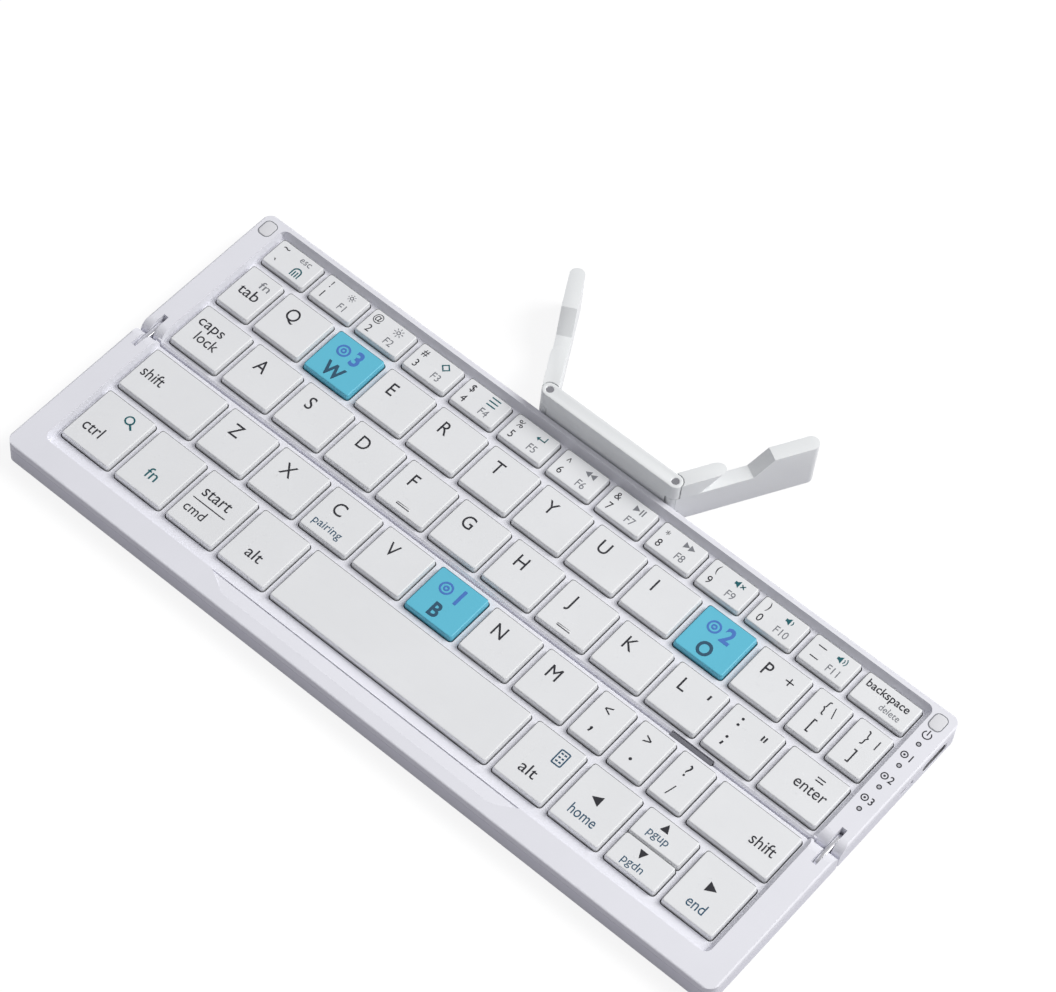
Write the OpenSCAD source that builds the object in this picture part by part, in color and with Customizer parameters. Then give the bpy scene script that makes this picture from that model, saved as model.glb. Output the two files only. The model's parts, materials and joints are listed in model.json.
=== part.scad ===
// Folding keyboard with two halves, link hinges and a folding stand for a slim device.
// The halves lie side by side at rest. Millimetres, +X along the keyboard, +Y to its rear, +Z up.
// The origin is on the desk, under the middle of the open keyboard and its stand.

/* [Overall size] */
// Length of the keyboard
body_length = 208; // [200:1:230]
// Depth of each half, from the seam to its outer edge
half_depth = 45; // [44.5:0.5:48]
// Height that the feet hold the cases off the desk
foot_height = 0.7; // [0.5:0.1:0.9]
// Thickness of each case
case_thickness = 6.8; // [6.6:0.1:7]
// Radius of the outer corners seen from above
corner_radius = 3; // [2:0.5:4]
// Radius of the rounded upper and lower edges
edge_radius = 0.5; // [0.4:0.1:0.8]

/* [Fold] */
// Distance from the seam to each hinge pin
pivot_offset = 3.4; // [3.3:0.05:3.5]
// Gap between the two halves
seam_gap = 0.2; // [0.2:0.05:0.3]
// Radius of a hinge pin
pin_radius = 0.8; // [0.6:0.05:0.9]
// Radius of the round ends of a hinge link
link_radius = 2.1; // [2:0.1:2.3]
// Thickness of a hinge link
link_thickness = 1.1; // [1:0.05:1.2]
// Distance from the end of the keyboard to the middle of a link
link_inset = 3.1; // [3:0.1:3.3]

/* [Keys] */
// Distance between letter keys, middle to middle
key_pitch = 15.95; // [15.85:0.05:16]
// Width of the top of a letter key
key_width = 13.8; // [13.5:0.05:14]
// Distance that a key travels
key_travel = 1.3; // [1:0.1:1.3]
// Height that the rim stands above the keys
key_below_rim = 0.8; // [0.6:0.1:0.9]
// Depth of the key well below the rim
well_depth = 2.5; // [2.4:0.1:2.6]

/* [Stand] */
// Distance between the two wing pins
stand_span = 37.5; // [36:0.5:44]
// Length of a wing from its pin to its tip
wing_length = 36; // [34:1:40]
// Thickness of the bar and the wings
stand_thickness = 3.8; // [3.4:0.1:4]
// Height of the top of the stand above the desk
stand_top = 14.2; // [13.5:0.1:15]
// Angle of an open wing from straight back
wing_splay = 29; // [25:1:40]

/* [Hidden] */
$fn = 48;
cut = 0.5;

case_bottom = foot_height;
rim_top = case_bottom + case_thickness;
wall = 1.2;
skin = 0.8;
tray_floor = case_bottom + skin;
parting_z = 5.55;
parting_groove = 0.12;
half_length = body_length / 2;

// The fold: a full round nose of each half rolls past the other about two pins
nose_radius = pivot_offset - seam_gap / 2;
pivot_z = rim_top - nose_radius;
heel_radius = 1.6;
link_slot_width = link_thickness + 0.3;
link_slot_reach = pivot_offset + link_radius + 0.15;
link_slot_bottom = pivot_z - link_radius - 0.2;
link_x = half_length - link_inset;
pin_clearance = 0.05;
pin_seat = pin_radius + 0.02;
pin_outer = half_length - wall;
pin_inner = half_length - 5.3;
hinge_block_width = 6.8;
hinge_block_depth = 8;

// The key well and the deck that guides the keys
rim_left = 6;
rim_right = 6.5;
rim_rear = 1.5;
rim_front = 6.6;
slope_left = 0.55;
slope_right = 1.5;
slope_short = 0.9;
well_corner = 2;
deck_top = rim_top - well_depth;
deck_thickness = 1;
deck_bottom = deck_top - deck_thickness;
deck_edge = 0.3;
deck_bevel = 0.45;
tub_wall = 0.6;
tub_left = half_length - rim_left + tub_wall;
tub_right = half_length - rim_right - 0.2;
seam_wall = 1.1;

// Keys: tops, tapered sides, openings in the deck
key_top = rim_top - key_below_rim;
key_skirt = deck_top - 0.2;
key_taper = 0.15;
key_chamfer = 0.3;
key_corner = 1;
key_wall = 0.75;
key_roof = 1;
key_opening_gap = 0.25;
plunger_radius = 1.5;
plunger_bottom = deck_bottom + 0.35;
key_gap = key_pitch - key_width;
field_left = -96.4;
field_right = 95.45;
bump_width = 3.8;
bump_depth = 0.5;
bump_height = 0.15;

// Rows as [distance of the near edge from the seam, depth of the key tops]
row_home = [1.95, 13.3];
row_upper = [17.8, 13.3];
row_number = [33.6, 8.2];
row_lower = [2.1, 13.35];
row_space = [18, 16.2];

// Widths of the keys that differ from a letter key
number_width = 12.57;
number_first = 12.75;
tab_width = 9.55;
caps_width = 14.2;
shift_width = 22.3;
ctrl_width = 14.5;
narrow_width = 9.15;

upper_start = field_left + tab_width + key_gap;
home_start = field_left + caps_width + key_gap;
lower_start = field_left + shift_width + key_gap;
bottom_start = field_left + ctrl_width + key_gap;
upper_count = 10;
home_count = 9;
lower_count = 7;
upper_end = upper_start + upper_count * key_pitch;
home_end = home_start + home_count * key_pitch;
lower_end = lower_start + lower_count * key_pitch;
bracket_width = (field_right - upper_end - key_gap) / 2;

// A key is [left edge, width, row]
function letters(start, count, row) = [for (i = [0 : count - 1]) [start + i * key_pitch, key_width, row]];
function from_to(left, right, row) = [left, right - left, row];

upper_letters = letters(upper_start, upper_count, row_upper);
home_letters = letters(home_start, home_count, row_home);
lower_letters = letters(lower_start, lower_count, row_lower);

number_start = field_left + number_first + key_gap;
number_step = number_width + key_gap;
number_keys = concat(
    [[field_left, number_first, row_number]],
    [for (i = [0 : 10]) [number_start + i * number_step, number_width, row_number]],
    [from_to(number_start + 11 * number_step, field_right, row_number)]
);
rear_side = [
    [field_left, tab_width, row_upper],
    [upper_end, bracket_width, row_upper],
    [upper_end + bracket_width + key_gap, bracket_width, row_upper],
    [field_left, caps_width, row_home],
    [home_end, key_width, row_home],
    from_to(home_end + key_pitch, field_right, row_home)
];
narrow_step = narrow_width + key_gap;
arrow_start = field_right - key_width - 2 * key_pitch;
right_alt = arrow_start - key_pitch;
front_side = concat(
    [[field_left, shift_width, row_lower]],
    [for (i = [0 : 2]) [lower_end + i * narrow_step, narrow_width, row_lower]],
    [from_to(lower_end + 3 * narrow_step, field_right, row_lower)],
    [[field_left, ctrl_width, row_space]],
    letters(bottom_start, 3, row_space),
    [[right_alt, key_width, row_space]]
);
arrow_split = 0.5;
arrow_half = (row_space[1] - arrow_split) / 2;
row_arrow_down = [row_space[0] + arrow_half + arrow_split, arrow_half];
row_arrow_up = [row_space[0], arrow_half];
arrow_pair_x = arrow_start + key_pitch;
arrows = [
    [arrow_start, key_width, row_space],
    [arrow_pair_x, key_width, row_arrow_up],
    [arrow_pair_x, key_width, row_arrow_down],
    [arrow_pair_x + key_pitch, key_width, row_space]
];
space_key = from_to(bottom_start + 3 * key_pitch, right_alt - key_gap, row_space);
rear_keys = concat(number_keys, rear_side, upper_letters, home_letters);
front_keys = concat(front_side, arrows, lower_letters, [space_key]);

// Layers inside the cases
board_thickness = 0.6;
plate_bottom = 2.6;
plate_thickness = 0.4;
plate_top = plate_bottom + plate_thickness;
film_thickness = 0.2;
film_top = plate_top + film_thickness;
sheet_left = -97;
sheet_right = 96.2;
sheet_margin = 0.2;
dome_base = 3;
dome_crown = 1.8;
dome_top = plunger_bottom - 0.05;
rib_width = 1;
rib_xs = [-80, -40, 0, 40, 80];
inner_x = half_length - wall;
inner_v = half_depth - wall;

// Fasteners and feet, as places [x, distance from the seam]
screw_x = half_length - 3.1;
screw_places = [[-screw_x, 16], [screw_x, 16], [-screw_x, 42], [screw_x, 42]];
screw_radius = 0.7;
screw_head_radius = 1.2;
screw_head_height = 0.6;
screw_top = 5;
post_radius = 2;
post_top = 3;
boss_radius = 1.6;
foot_radius = 2.5;
foot_recess = 0.2;
foot_places = [[-92, 7], [92, 7], [-92, 38], [92, 38]];

// Right end of the rear half: charging socket, power switch and indicator lights
socket_v = 35.3;
socket_width = 8.95;
socket_height = 3.2;
socket_length = 6.5;
socket_shell = 0.3;
socket_tongue = [6.4, 0.7];
socket_z = tray_floor + board_thickness + socket_height / 2;
switch_v = 24.9;
switch_z = 3.7;
switch_slot = 5;
switch_slot_height = 1.5;
switch_knob = 2.2;
switch_travel = 2;
switch_carriage = [1.2, 4.4, 2.4];
board_left = 97.3;
light_x = half_length - 3.85;
light_vs = [11.75, 19, 26.3, 33.55];
light_radius = 0.6;
pad_size = [3.3, 4.4];
pad_corner = 1.4;
pad_places = [[-100.9, 40.8], [100.1, 40.9]];
pad_depth = 0.6;
pad_proud = 0.12;

// Battery in the front rim and the finger relief above it
battery_size = [60, 4.5, 3.5];
battery_v = 39.15;
relief_half_outer = 45.5;
relief_half_inner = 39.5;
relief_reach = 41.8;
relief_drop = 0.6;

// Slits for opening the case, at the parting line of the right end
slit_v = 7.6;
slit_size = [0.5, 2.4, 0.35];

// Flat cable across the seam
ribbon_x = 62.8;
ribbon_width = 11.6;
ribbon_sheet = 0.2;
ribbon_bridge = 0.65;
ribbon_top = deck_top - 0.2;
ribbon_foot = 1.9;
ribbon_reach = 5;

// The stand behind the rear edge
stand_gap = 0.3;
stand_bottom = 0.3;
stand_height = stand_top - stand_bottom;
stand_half = stand_thickness / 2;
stand_v = half_depth + stand_gap + stand_half;
wing_pin_radius = 0.9;
wing_pin_seat = wing_pin_radius + pin_clearance;
knuckle_low = 4;
knuckle_high = 9.2;
knuckle_gap = 0.15;
knuckle_clear = stand_half + 0.2;
tenon = [6, 2.4];
tenon_depth = 1;
tenon_x = 12;
tenon_z = 2;
// The slot that holds the device leans back; distances are along a wing, from its pin
slot_front_top = 12.7;
slot_front_bottom = 7.9;
slot_back_bottom = 19.3;
slot_back_top = 24.1;
slot_bottom = 9.1;
slot_lean = atan((slot_front_top - slot_front_bottom) / (stand_top - slot_bottom));
stand_reach = stand_gap + stand_half + (wing_length - stand_half) * cos(wing_splay) + stand_half;

// The seam lies in front of the origin, so that the stand balances it
seam_y = -stand_reach / 2;

KEY_NODES = ["key_q", "key_w", "key_e", "key_r", "key_t", "key_y", "key_u", "key_i", "key_o", "key_p",
    "key_a", "key_s", "key_d", "key_f", "key_g", "key_h", "key_j", "key_k", "key_l",
    "key_z", "key_x", "key_c", "key_v", "key_b", "key_n", "key_m",
    "space_bar", "number_row_keys", "rear_side_keys", "front_side_keys", "arrow_keys"];

// Each half is drawn with its seam at y = 0 and its outer edge at y = half_depth

module in_rear() {
    translate([0, seam_y, 0])
        children();
}

module in_front() {
    translate([0, seam_y, 0])
        mirror([0, 1, 0])
            children();
}

module both_ends() {
    children();
    mirror([1, 0, 0])
        children();
}

module along_x(length) {
    translate([-length / 2, 0, 0])
        rotate([90, 0, 90])
            linear_extrude(length)
                children();
}

module along_y(length) {
    translate([0, length, 0])
        rotate([90, 0, 0])
            linear_extrude(length)
                children();
}

module slab(x1, x2, v1, v2, z1, z2) {
    translate([x1, v1, z1])
        cube([x2 - x1, v2 - v1, z2 - z1]);
}

module rounded_square(size, radius) {
    translate([radius, 0])
        square([size[0] - 2 * radius, size[1]]);
    translate([0, radius])
        square([size[0], size[1] - 2 * radius]);
    for (x = [radius, size[0] - radius], y = [radius, size[1] - radius])
        translate([x, y])
            circle(radius);
}

// Section of a half across the keyboard, with the round nose at the seam
module half_section() {
    straight = half_depth - edge_radius - pivot_offset;
    translate([pivot_offset, pivot_z])
        circle(nose_radius, $fn = 96);
    translate([pivot_offset, case_bottom])
        square([straight, case_thickness]);
    translate([seam_gap / 2, case_bottom + heel_radius])
        square([pivot_offset, pivot_z - case_bottom - heel_radius]);
    translate([seam_gap / 2 + heel_radius, case_bottom])
        square([pivot_offset, pivot_z - case_bottom]);
    translate([seam_gap / 2 + heel_radius, case_bottom + heel_radius])
        circle(heel_radius);
    translate([half_depth - 4 * edge_radius, case_bottom])
        rounded_square([4 * edge_radius, case_thickness], edge_radius);
}

module half_outline(inset) {
    radius = corner_radius - inset;
    size = [body_length - 2 * inset, 2 * (half_depth - inset)];
    translate([-half_length + inset, -half_depth + inset])
        rounded_square(size, radius);
}

// The outer form of a half: outline, end view and section meet
module half_envelope() {
    intersection() {
        linear_extrude(rim_top + cut)
            half_outline(0);
        along_y(half_depth + cut)
            translate([-half_length, case_bottom])
                rounded_square([body_length, case_thickness], edge_radius);
        along_x(body_length + 2 * cut)
            half_section();
    }
}

// The key well, open to the seam, with sloping walls; rim is the width of its outer rim
module well(rim) {
    left = rim_left - half_length;
    right = half_length - rim_right;
    top_v = half_depth - rim;
    intersection() {
        along_y(half_depth)
            polygon([[left, rim_top + cut], [left, rim_top], [left + slope_left, deck_top],
                [right - slope_right, deck_top], [right, rim_top], [right, rim_top + cut]]);
        along_x(body_length)
            polygon([[-cut, deck_top], [top_v - slope_short, deck_top], [top_v, rim_top],
                [top_v, rim_top + cut], [-cut, rim_top + cut]]);
        translate([left, -top_v, deck_top - cut])
            linear_extrude(well_depth + 2 * cut)
                rounded_square([right - left, 2 * top_v], well_corner);
    }
    // the edge of the deck at the seam is bevelled
    translate([(left + slope_left + right - slope_right) / 2, 0, 0])
        along_x(right - left - slope_left - slope_right)
            polygon([[0, deck_top - deck_bevel], [deck_edge, deck_top - deck_bevel],
                [deck_edge + deck_bevel, deck_top], [deck_edge + deck_bevel, rim_top], [0, rim_top]]);
}

module key_openings(keys) {
    spread = key_taper + key_opening_gap;
    for (k = keys)
        translate([k[0] - spread, k[2][0] - spread, deck_bottom - cut])
            linear_extrude(deck_thickness + 2 * cut)
                rounded_square([k[1] + 2 * spread, k[2][1] + 2 * spread], key_corner);
}

module link_slots() {
    both_ends()
        translate([link_x, 0, link_slot_bottom]) {
            translate([-link_slot_width / 2, -cut, 0])
                cube([link_slot_width, link_slot_reach + cut, rim_top]);
        }
}

module top_shell(rim, keys) {
    tub_v = min(half_depth - rim + tub_wall, inner_v - 0.1);
    difference() {
        union() {
            intersection() {
                half_envelope();
                slab(-half_length, half_length, 0, half_depth, parting_z, rim_top);
            }
            slab(-tub_left, tub_right, deck_edge, tub_v, deck_bottom, parting_z + cut);
            for (p = screw_places)
                translate([p[0], p[1], post_top])
                    cylinder(h = parting_z - post_top + cut, r = boss_radius);
        }
        well(rim);
        key_openings(keys);
        link_slots();
        for (p = screw_places)
            translate([p[0], p[1], post_top - cut])
                cylinder(h = screw_top - post_top + cut, r = screw_radius);
        ribbon_notch();
    }
}

module ribbon_notch() {
    half = ribbon_width / 2 + 0.2;
    slab(ribbon_x - half, ribbon_x + half, -cut, ribbon_bridge + 0.15, ribbon_foot - 0.2, rim_top);
    slab(ribbon_x - half, ribbon_x + half, 0, seam_wall + 0.1, ribbon_foot - 0.2, plate_bottom);
}

module bottom_shell(rim) {
    block_x = half_length - hinge_block_width;
    difference() {
        union() {
            intersection() {
                half_envelope();
                slab(-half_length, half_length, 0, half_depth, case_bottom, parting_z - parting_groove);
            }
            intersection() {
                half_envelope();
                translate([0, 0, case_bottom])
                    linear_extrude(parting_z - case_bottom)
                        half_outline(parting_groove);
                slab(-half_length, half_length, 0, half_depth, tray_floor, parting_z);
            }
        }
        slab(-inner_x, inner_x, hinge_block_depth, inner_v, tray_floor, rim_top);
        slab(-block_x, block_x, seam_wall, hinge_block_depth + cut, tray_floor, rim_top);
        slab(-tub_left - 0.1, tub_right + 0.1, -cut, hinge_block_depth, deck_bottom, rim_top);
        link_slots();
        hinge_bores();
        for (p = foot_places)
            translate([p[0], p[1], case_bottom - cut])
                cylinder(h = cut + foot_recess, r = foot_radius);
        for (p = screw_places)
            translate([p[0], p[1], case_bottom - cut])
                cylinder(h = cut + screw_head_height + 0.1, r = screw_head_radius + 0.1);
        for (p = screw_places)
            translate([p[0], p[1], case_bottom])
                cylinder(h = skin + cut, r = screw_radius + 0.1);
        ribbon_notch();
        translate([half_length - slit_size[0], slit_v - slit_size[1] / 2, parting_z - slit_size[2]])
            cube([slit_size[0] + cut, slit_size[1], slit_size[2] + cut]);
    }
    difference() {
        union() {
            for (p = screw_places)
                translate([p[0], p[1], tray_floor - 0.1])
                    cylinder(h = post_top - tray_floor + 0.1, r = post_radius);
            for (x = rib_xs)
                slab(x - rib_width / 2, x + rib_width / 2, seam_wall - 0.1, half_depth - rim - 1,
                    tray_floor - 0.1, plate_bottom);
        }
        for (p = screw_places)
            translate([p[0], p[1], case_bottom])
                cylinder(h = rim_top, r = screw_radius + 0.1);
    }
}

module hinge_bores() {
    both_ends()
        translate([pin_inner, pivot_offset, pivot_z])
            rotate([0, 90, 0])
                cylinder(h = pin_outer - pin_inner, r = pin_seat);
}

module hinge_pin_pair() {
    both_ends()
        translate([pin_inner, pivot_offset, pivot_z])
            rotate([0, 90, 0])
                cylinder(h = pin_outer - pin_inner, r = pin_radius);
}

module base_sheet(x1, x2, v2) {
    difference() {
        slab(x1, x2, seam_wall + 0.2, v2, plate_bottom, plate_top);
        both_ends()
            slab(half_length - hinge_block_width - 0.2, half_length, 0, hinge_block_depth + 0.2, 0, rim_top);
    }
}

module dome_film(x1, x2, v2, keys) {
    slab(x1, x2, seam_wall + 0.4, v2, plate_top, film_top);
    for (k = keys)
        translate([k[0] + k[1] / 2, k[2][0] + k[2][1] / 2, film_top - 0.05])
            cylinder(h = dome_top - film_top + 0.05, r1 = dome_base, r2 = dome_crown);
}

// A keycap: tapered on four sides, chamfered on top and hollow below, with a plunger
module key_cap(k) {
    x1 = k[0];
    x2 = k[0] + k[1];
    v1 = k[2][0];
    v2 = k[2][0] + k[2][1];
    difference() {
        intersection() {
            along_y(half_depth)
                tapered_side(x1, x2);
            translate([(x1 + x2) / 2, 0, 0])
                along_x(k[1] + 4 * key_taper)
                    tapered_side(v1, v2);
            translate([x1 - key_taper, v1 - key_taper, key_skirt])
                linear_extrude(key_top - key_skirt)
                    rounded_square([k[1] + 2 * key_taper, k[2][1] + 2 * key_taper], key_corner);
        }
        slab(x1 + key_wall, x2 - key_wall, v1 + key_wall, v2 - key_wall, key_skirt - cut, key_top - key_roof);
    }
    translate([(x1 + x2) / 2, (v1 + v2) / 2, plunger_bottom])
        cylinder(h = key_top - key_roof - plunger_bottom + 0.1, r = plunger_radius);
}

module tapered_side(a, b) {
    polygon([[a - key_taper, key_skirt], [b + key_taper, key_skirt], [b, key_top - key_chamfer],
        [b - key_chamfer, key_top], [a + key_chamfer, key_top], [a, key_top - key_chamfer]]);
}

module home_bump(k) {
    translate([k[0] + (k[1] - bump_width) / 2, k[2][0] + 2, key_top - 0.1])
        cube([bump_width, bump_depth, bump_height + 0.1]);
}

module rear_top_case() {
    color("whitesmoke")
        in_rear()
            difference() {
                top_shell(rim_rear, rear_keys);
                pads(pad_depth + cut, 0.05);
                for (v = light_vs)
                    translate([light_x, v, parting_z - cut])
                        cylinder(h = rim_top, r = light_radius + 0.02);
            }
}

module rear_bottom_case() {
    opening_y = socket_v - socket_width / 2 - 0.1;
    color("lavender")
        in_rear()
            difference() {
                bottom_shell(rim_rear);
                translate([inner_x - cut, opening_y, socket_z - socket_height / 2 - 0.05])
                    rotate([90, 0, 90])
                        linear_extrude(wall + 2 * cut)
                            rounded_square([socket_width + 0.2, socket_height + 0.1], socket_height / 2);
                translate([inner_x - cut, switch_v - switch_slot / 2, switch_z - switch_slot_height / 2])
                    rotate([90, 0, 90])
                        linear_extrude(wall + 2 * cut)
                            rounded_square([switch_slot, switch_slot_height], 0.5);
                for (x = [-tenon_x, tenon_x])
                    translate([x - tenon[0] / 2 - 0.05, half_depth - tenon_depth, tenon_z - 0.05])
                        cube([tenon[0] + 0.1, tenon_depth + cut, tenon[1] + 0.1]);
            }
}

module rear_base_plate() {
    color("silver")
        in_rear()
            base_sheet(sheet_left, sheet_right, inner_v - 0.4);
}

module rear_dome_sheet() {
    color("gainsboro")
        in_rear()
            dome_film(sheet_left + sheet_margin, sheet_right - sheet_margin, inner_v - 0.6, rear_keys);
}

module main_circuit_board() {
    color("seagreen")
        in_rear()
            difference() {
                slab(board_left, inner_x - 0.2, hinge_block_depth + 1, inner_v - 0.4, tray_floor,
                    tray_floor + board_thickness);
                for (p = screw_places)
                    translate([p[0], p[1], 0])
                        cylinder(h = rim_top, r = post_radius + 0.2);
            }
}

module usb_socket() {
    inner = [socket_width - 2 * socket_shell, socket_height - 2 * socket_shell];
    color("silver")
        in_rear()
            translate([half_length - 0.1 - socket_length, socket_v - socket_width / 2,
                socket_z - socket_height / 2])
                rotate([90, 0, 90]) {
                    difference() {
                        linear_extrude(socket_length)
                            rounded_square([socket_width, socket_height], socket_height / 2 - 0.05);
                        translate([socket_shell, socket_shell, socket_shell])
                            linear_extrude(socket_length)
                                rounded_square(inner, inner[1] / 2 - 0.05);
                    }
                    translate([(socket_width - socket_tongue[0]) / 2,
                        (socket_height - socket_tongue[1]) / 2, 0])
                        cube([socket_tongue[0], socket_tongue[1], socket_length - 1]);
                }
}

// The knob sits in the slot of the side wall; its carriage is wider and runs inside
module power_slider() {
    rest_v = switch_v - switch_travel / 2;
    color("dimgray")
        in_rear() {
            translate([inner_x - 0.3, rest_v - switch_knob / 2, switch_z - switch_slot_height / 2 + 0.15])
                cube([wall + 0.1, switch_knob, switch_slot_height - 0.3]);
            translate([inner_x - switch_carriage[0] - 0.2, rest_v - switch_carriage[1] / 2,
                switch_z - switch_carriage[2] / 2])
                cube(switch_carriage);
        }
}

module indicator_lenses() {
    color("gray")
        in_rear()
            for (v = light_vs)
                translate([light_x, v, parting_z])
                    cylinder(h = rim_top - parting_z, r = light_radius);
}

module pads(depth, margin) {
    size = [pad_size[0] + 2 * margin, pad_size[1] + 2 * margin];
    for (p = pad_places)
        translate([p[0] - size[0] / 2, p[1] - size[1] / 2, rim_top - pad_depth])
            linear_extrude(depth)
                rounded_square(size, pad_corner);
}

module bumper_pads() {
    color("lightgray")
        in_rear()
            pads(pad_depth + pad_proud, 0);
}

module feet() {
    for (p = foot_places)
        translate([p[0], p[1], 0])
            cylinder(h = case_bottom + foot_recess, r = foot_radius - 0.05);
}

module screws() {
    for (p = screw_places)
        translate([p[0], p[1], case_bottom + 0.05]) {
            cylinder(h = screw_head_height, r = screw_head_radius);
            cylinder(h = screw_top - case_bottom - 0.1, r = screw_radius - 0.02);
        }
}

module rear_feet() {
    color("darkgray")
        in_rear()
            feet();
}

module rear_screws() {
    color("silver")
        in_rear()
            screws();
}

module rear_hinge_pins() {
    color("silver")
        in_rear()
            hinge_pin_pair();
}

module front_top_case() {
    color("whitesmoke")
        in_front()
            difference() {
                top_shell(rim_front, front_keys);
                finger_relief();
            }
}

// A shallow ramp in the middle of the front rim, where a finger lifts the upper half
module finger_relief() {
    start = half_depth - rim_front - 0.1;
    intersection() {
        along_x(body_length)
            polygon([[start, rim_top - relief_drop], [relief_reach, rim_top], [relief_reach, rim_top + cut],
                [start, rim_top + cut]]);
        linear_extrude(rim_top + cut)
            polygon([[-relief_half_outer, start], [relief_half_outer, start],
                [relief_half_inner, relief_reach], [-relief_half_inner, relief_reach]]);
    }
}

module front_bottom_case() {
    color("lavender")
        in_front()
            bottom_shell(rim_front);
}

module front_base_plate() {
    color("silver")
        in_front()
            base_sheet(sheet_left, sheet_right, half_depth - rim_front - 0.2);
}

module front_dome_sheet() {
    color("gainsboro")
        in_front()
            dome_film(sheet_left + sheet_margin, sheet_right - sheet_margin,
                half_depth - rim_front - 0.4, front_keys);
}

module battery() {
    color("steelblue")
        in_front()
            translate([-battery_size[0] / 2, battery_v, tray_floor])
                cube(battery_size);
}

module front_feet() {
    color("darkgray")
        in_front()
            feet();
}

module front_screws() {
    color("silver")
        in_front()
            screws();
}

module front_hinge_pins() {
    color("silver")
        in_front()
            hinge_pin_pair();
}

// Two flat links, each turning on one pin of each half
module hinge_links() {
    color("gainsboro")
        in_rear()
            both_ends()
                translate([link_x - link_thickness / 2, 0, pivot_z])
                    rotate([90, 0, 90])
                        linear_extrude(link_thickness)
                            difference() {
                                union() {
                                    translate([-pivot_offset, -link_radius])
                                        square([2 * pivot_offset, 2 * link_radius]);
                                    for (y = [-pivot_offset, pivot_offset])
                                        translate([y, 0])
                                            circle(link_radius);
                                }
                                for (y = [-pivot_offset, pivot_offset])
                                    translate([y, 0])
                                        circle(pin_radius + pin_clearance);
                            }
}

// A flat cable that bridges the seam and dips under the base plate of each half
module flex_ribbon() {
    color("dimgray")
        in_rear()
            translate([ribbon_x, 0, 0])
                along_x(ribbon_width)
                    difference() {
                        union() {
                            translate([-ribbon_bridge, ribbon_foot])
                                square([2 * ribbon_bridge, ribbon_top - ribbon_foot]);
                            translate([-ribbon_reach, ribbon_foot])
                                square([2 * ribbon_reach, ribbon_sheet]);
                        }
                        translate([-ribbon_bridge + ribbon_sheet, ribbon_foot - cut])
                            square([2 * (ribbon_bridge - ribbon_sheet), ribbon_top - ribbon_foot + cut - ribbon_sheet]);
                    }
}

module bar_end_cut() {
    translate([stand_span / 2, 0, knuckle_low])
        linear_extrude(knuckle_high - knuckle_low)
            wing_sweep();
}

// Room for a wing between its open and its closed place, seen from above at its pin
module wing_sweep() {
    circle(knuckle_clear);
    for (a = [0, 90 - wing_splay])
        rotate(a)
            translate([0, -knuckle_clear])
                square([stand_span / 3, 2 * knuckle_clear]);
}

module stand_bar() {
    color("whitesmoke")
        in_rear() {
            translate([0, stand_v, 0])
                difference() {
                    translate([0, 0, stand_bottom])
                        linear_extrude(stand_height) {
                            translate([-stand_span / 2, -stand_half])
                                square([stand_span, stand_thickness]);
                            for (x = [-stand_span / 2, stand_span / 2])
                                translate([x, 0])
                                    circle(stand_half);
                        }
                    both_ends()
                        bar_end_cut();
                    both_ends()
                        translate([stand_span / 2, 0, 0])
                            cylinder(h = stand_top + cut, r = wing_pin_radius + 0.02);
                }
            for (x = [-tenon_x, tenon_x])
                translate([x - tenon[0] / 2, half_depth - tenon_depth, tenon_z])
                    cube([tenon[0], tenon_depth + stand_gap + 0.5, tenon[1]]);
        }
}

module wing_pins() {
    color("silver")
        in_rear()
            both_ends()
                translate([stand_span / 2, stand_v, stand_bottom + 0.3])
                    cylinder(h = stand_height - 0.6, r = wing_pin_radius);
}

// One wing, drawn on the right: plate, knuckle and the leaning slot with a round nose before it
module wing() {
    nose = stand_half / cos(slot_lean);
    translate([stand_span / 2, stand_v, 0])
        rotate(90 - wing_splay) {
            difference() {
                translate([0, 0, stand_bottom])
                    linear_extrude(stand_height) {
                        translate([0, -stand_half])
                            square([wing_length - stand_half, stand_thickness]);
                        translate([wing_length - stand_half, 0])
                            circle(stand_half);
                        circle(stand_half - 0.1);
                    }
                for (z = [[stand_bottom - cut, knuckle_low + knuckle_gap],
                        [knuckle_high - knuckle_gap, stand_top + cut]])
                    translate([0, 0, z[0]])
                        linear_extrude(z[1] - z[0])
                            bar_sweep();
                cylinder(h = stand_top + cut, r = wing_pin_seat);
                translate([0, -stand_thickness / 2 - cut, 0])
                    along_y(stand_thickness + 2 * cut)
                        polygon([[slot_front_bottom - nose, slot_bottom], [slot_back_bottom, slot_bottom],
                            [slot_back_top, stand_top], [slot_back_top, stand_top + cut],
                            [slot_front_top - nose, stand_top + cut], [slot_front_top - nose, stand_top]]);
            }
            intersection() {
                translate([slot_front_bottom - nose, 0, slot_bottom])
                    rotate([0, slot_lean, 0])
                        translate([0, 0, -stand_half])
                            cylinder(h = stand_top, r = stand_half - 0.02);
                slab(0, slot_back_top, -stand_thickness, stand_thickness, slot_bottom - 0.1, stand_top);
            }
        }
}

// Room for the bar between the open and the closed place of a wing, seen from the wing
module bar_sweep() {
    circle(knuckle_clear);
    for (a = [180, 90 + wing_splay])
        rotate(a)
            translate([0, -knuckle_clear])
                square([stand_span / 3, 2 * knuckle_clear]);
}

module right_stand_wing() {
    color("whitesmoke")
        in_rear()
            wing();
}

module left_stand_wing() {
    color("whitesmoke")
        in_rear()
            mirror([1, 0, 0])
                wing();
}

module rear_key(k, shade) {
    color(shade)
        in_rear()
            key_cap(k);
}

module front_key(k, shade) {
    color(shade)
        in_front()
            key_cap(k);
}

module home_key(k) {
    color("white")
        in_rear() {
            key_cap(k);
            home_bump(k);
        }
}

module number_row_keys() {
    color("white")
        in_rear()
            for (k = number_keys)
                key_cap(k);
}

module rear_side_keys() {
    color("white")
        in_rear()
            for (k = rear_side)
                key_cap(k);
}

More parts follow.
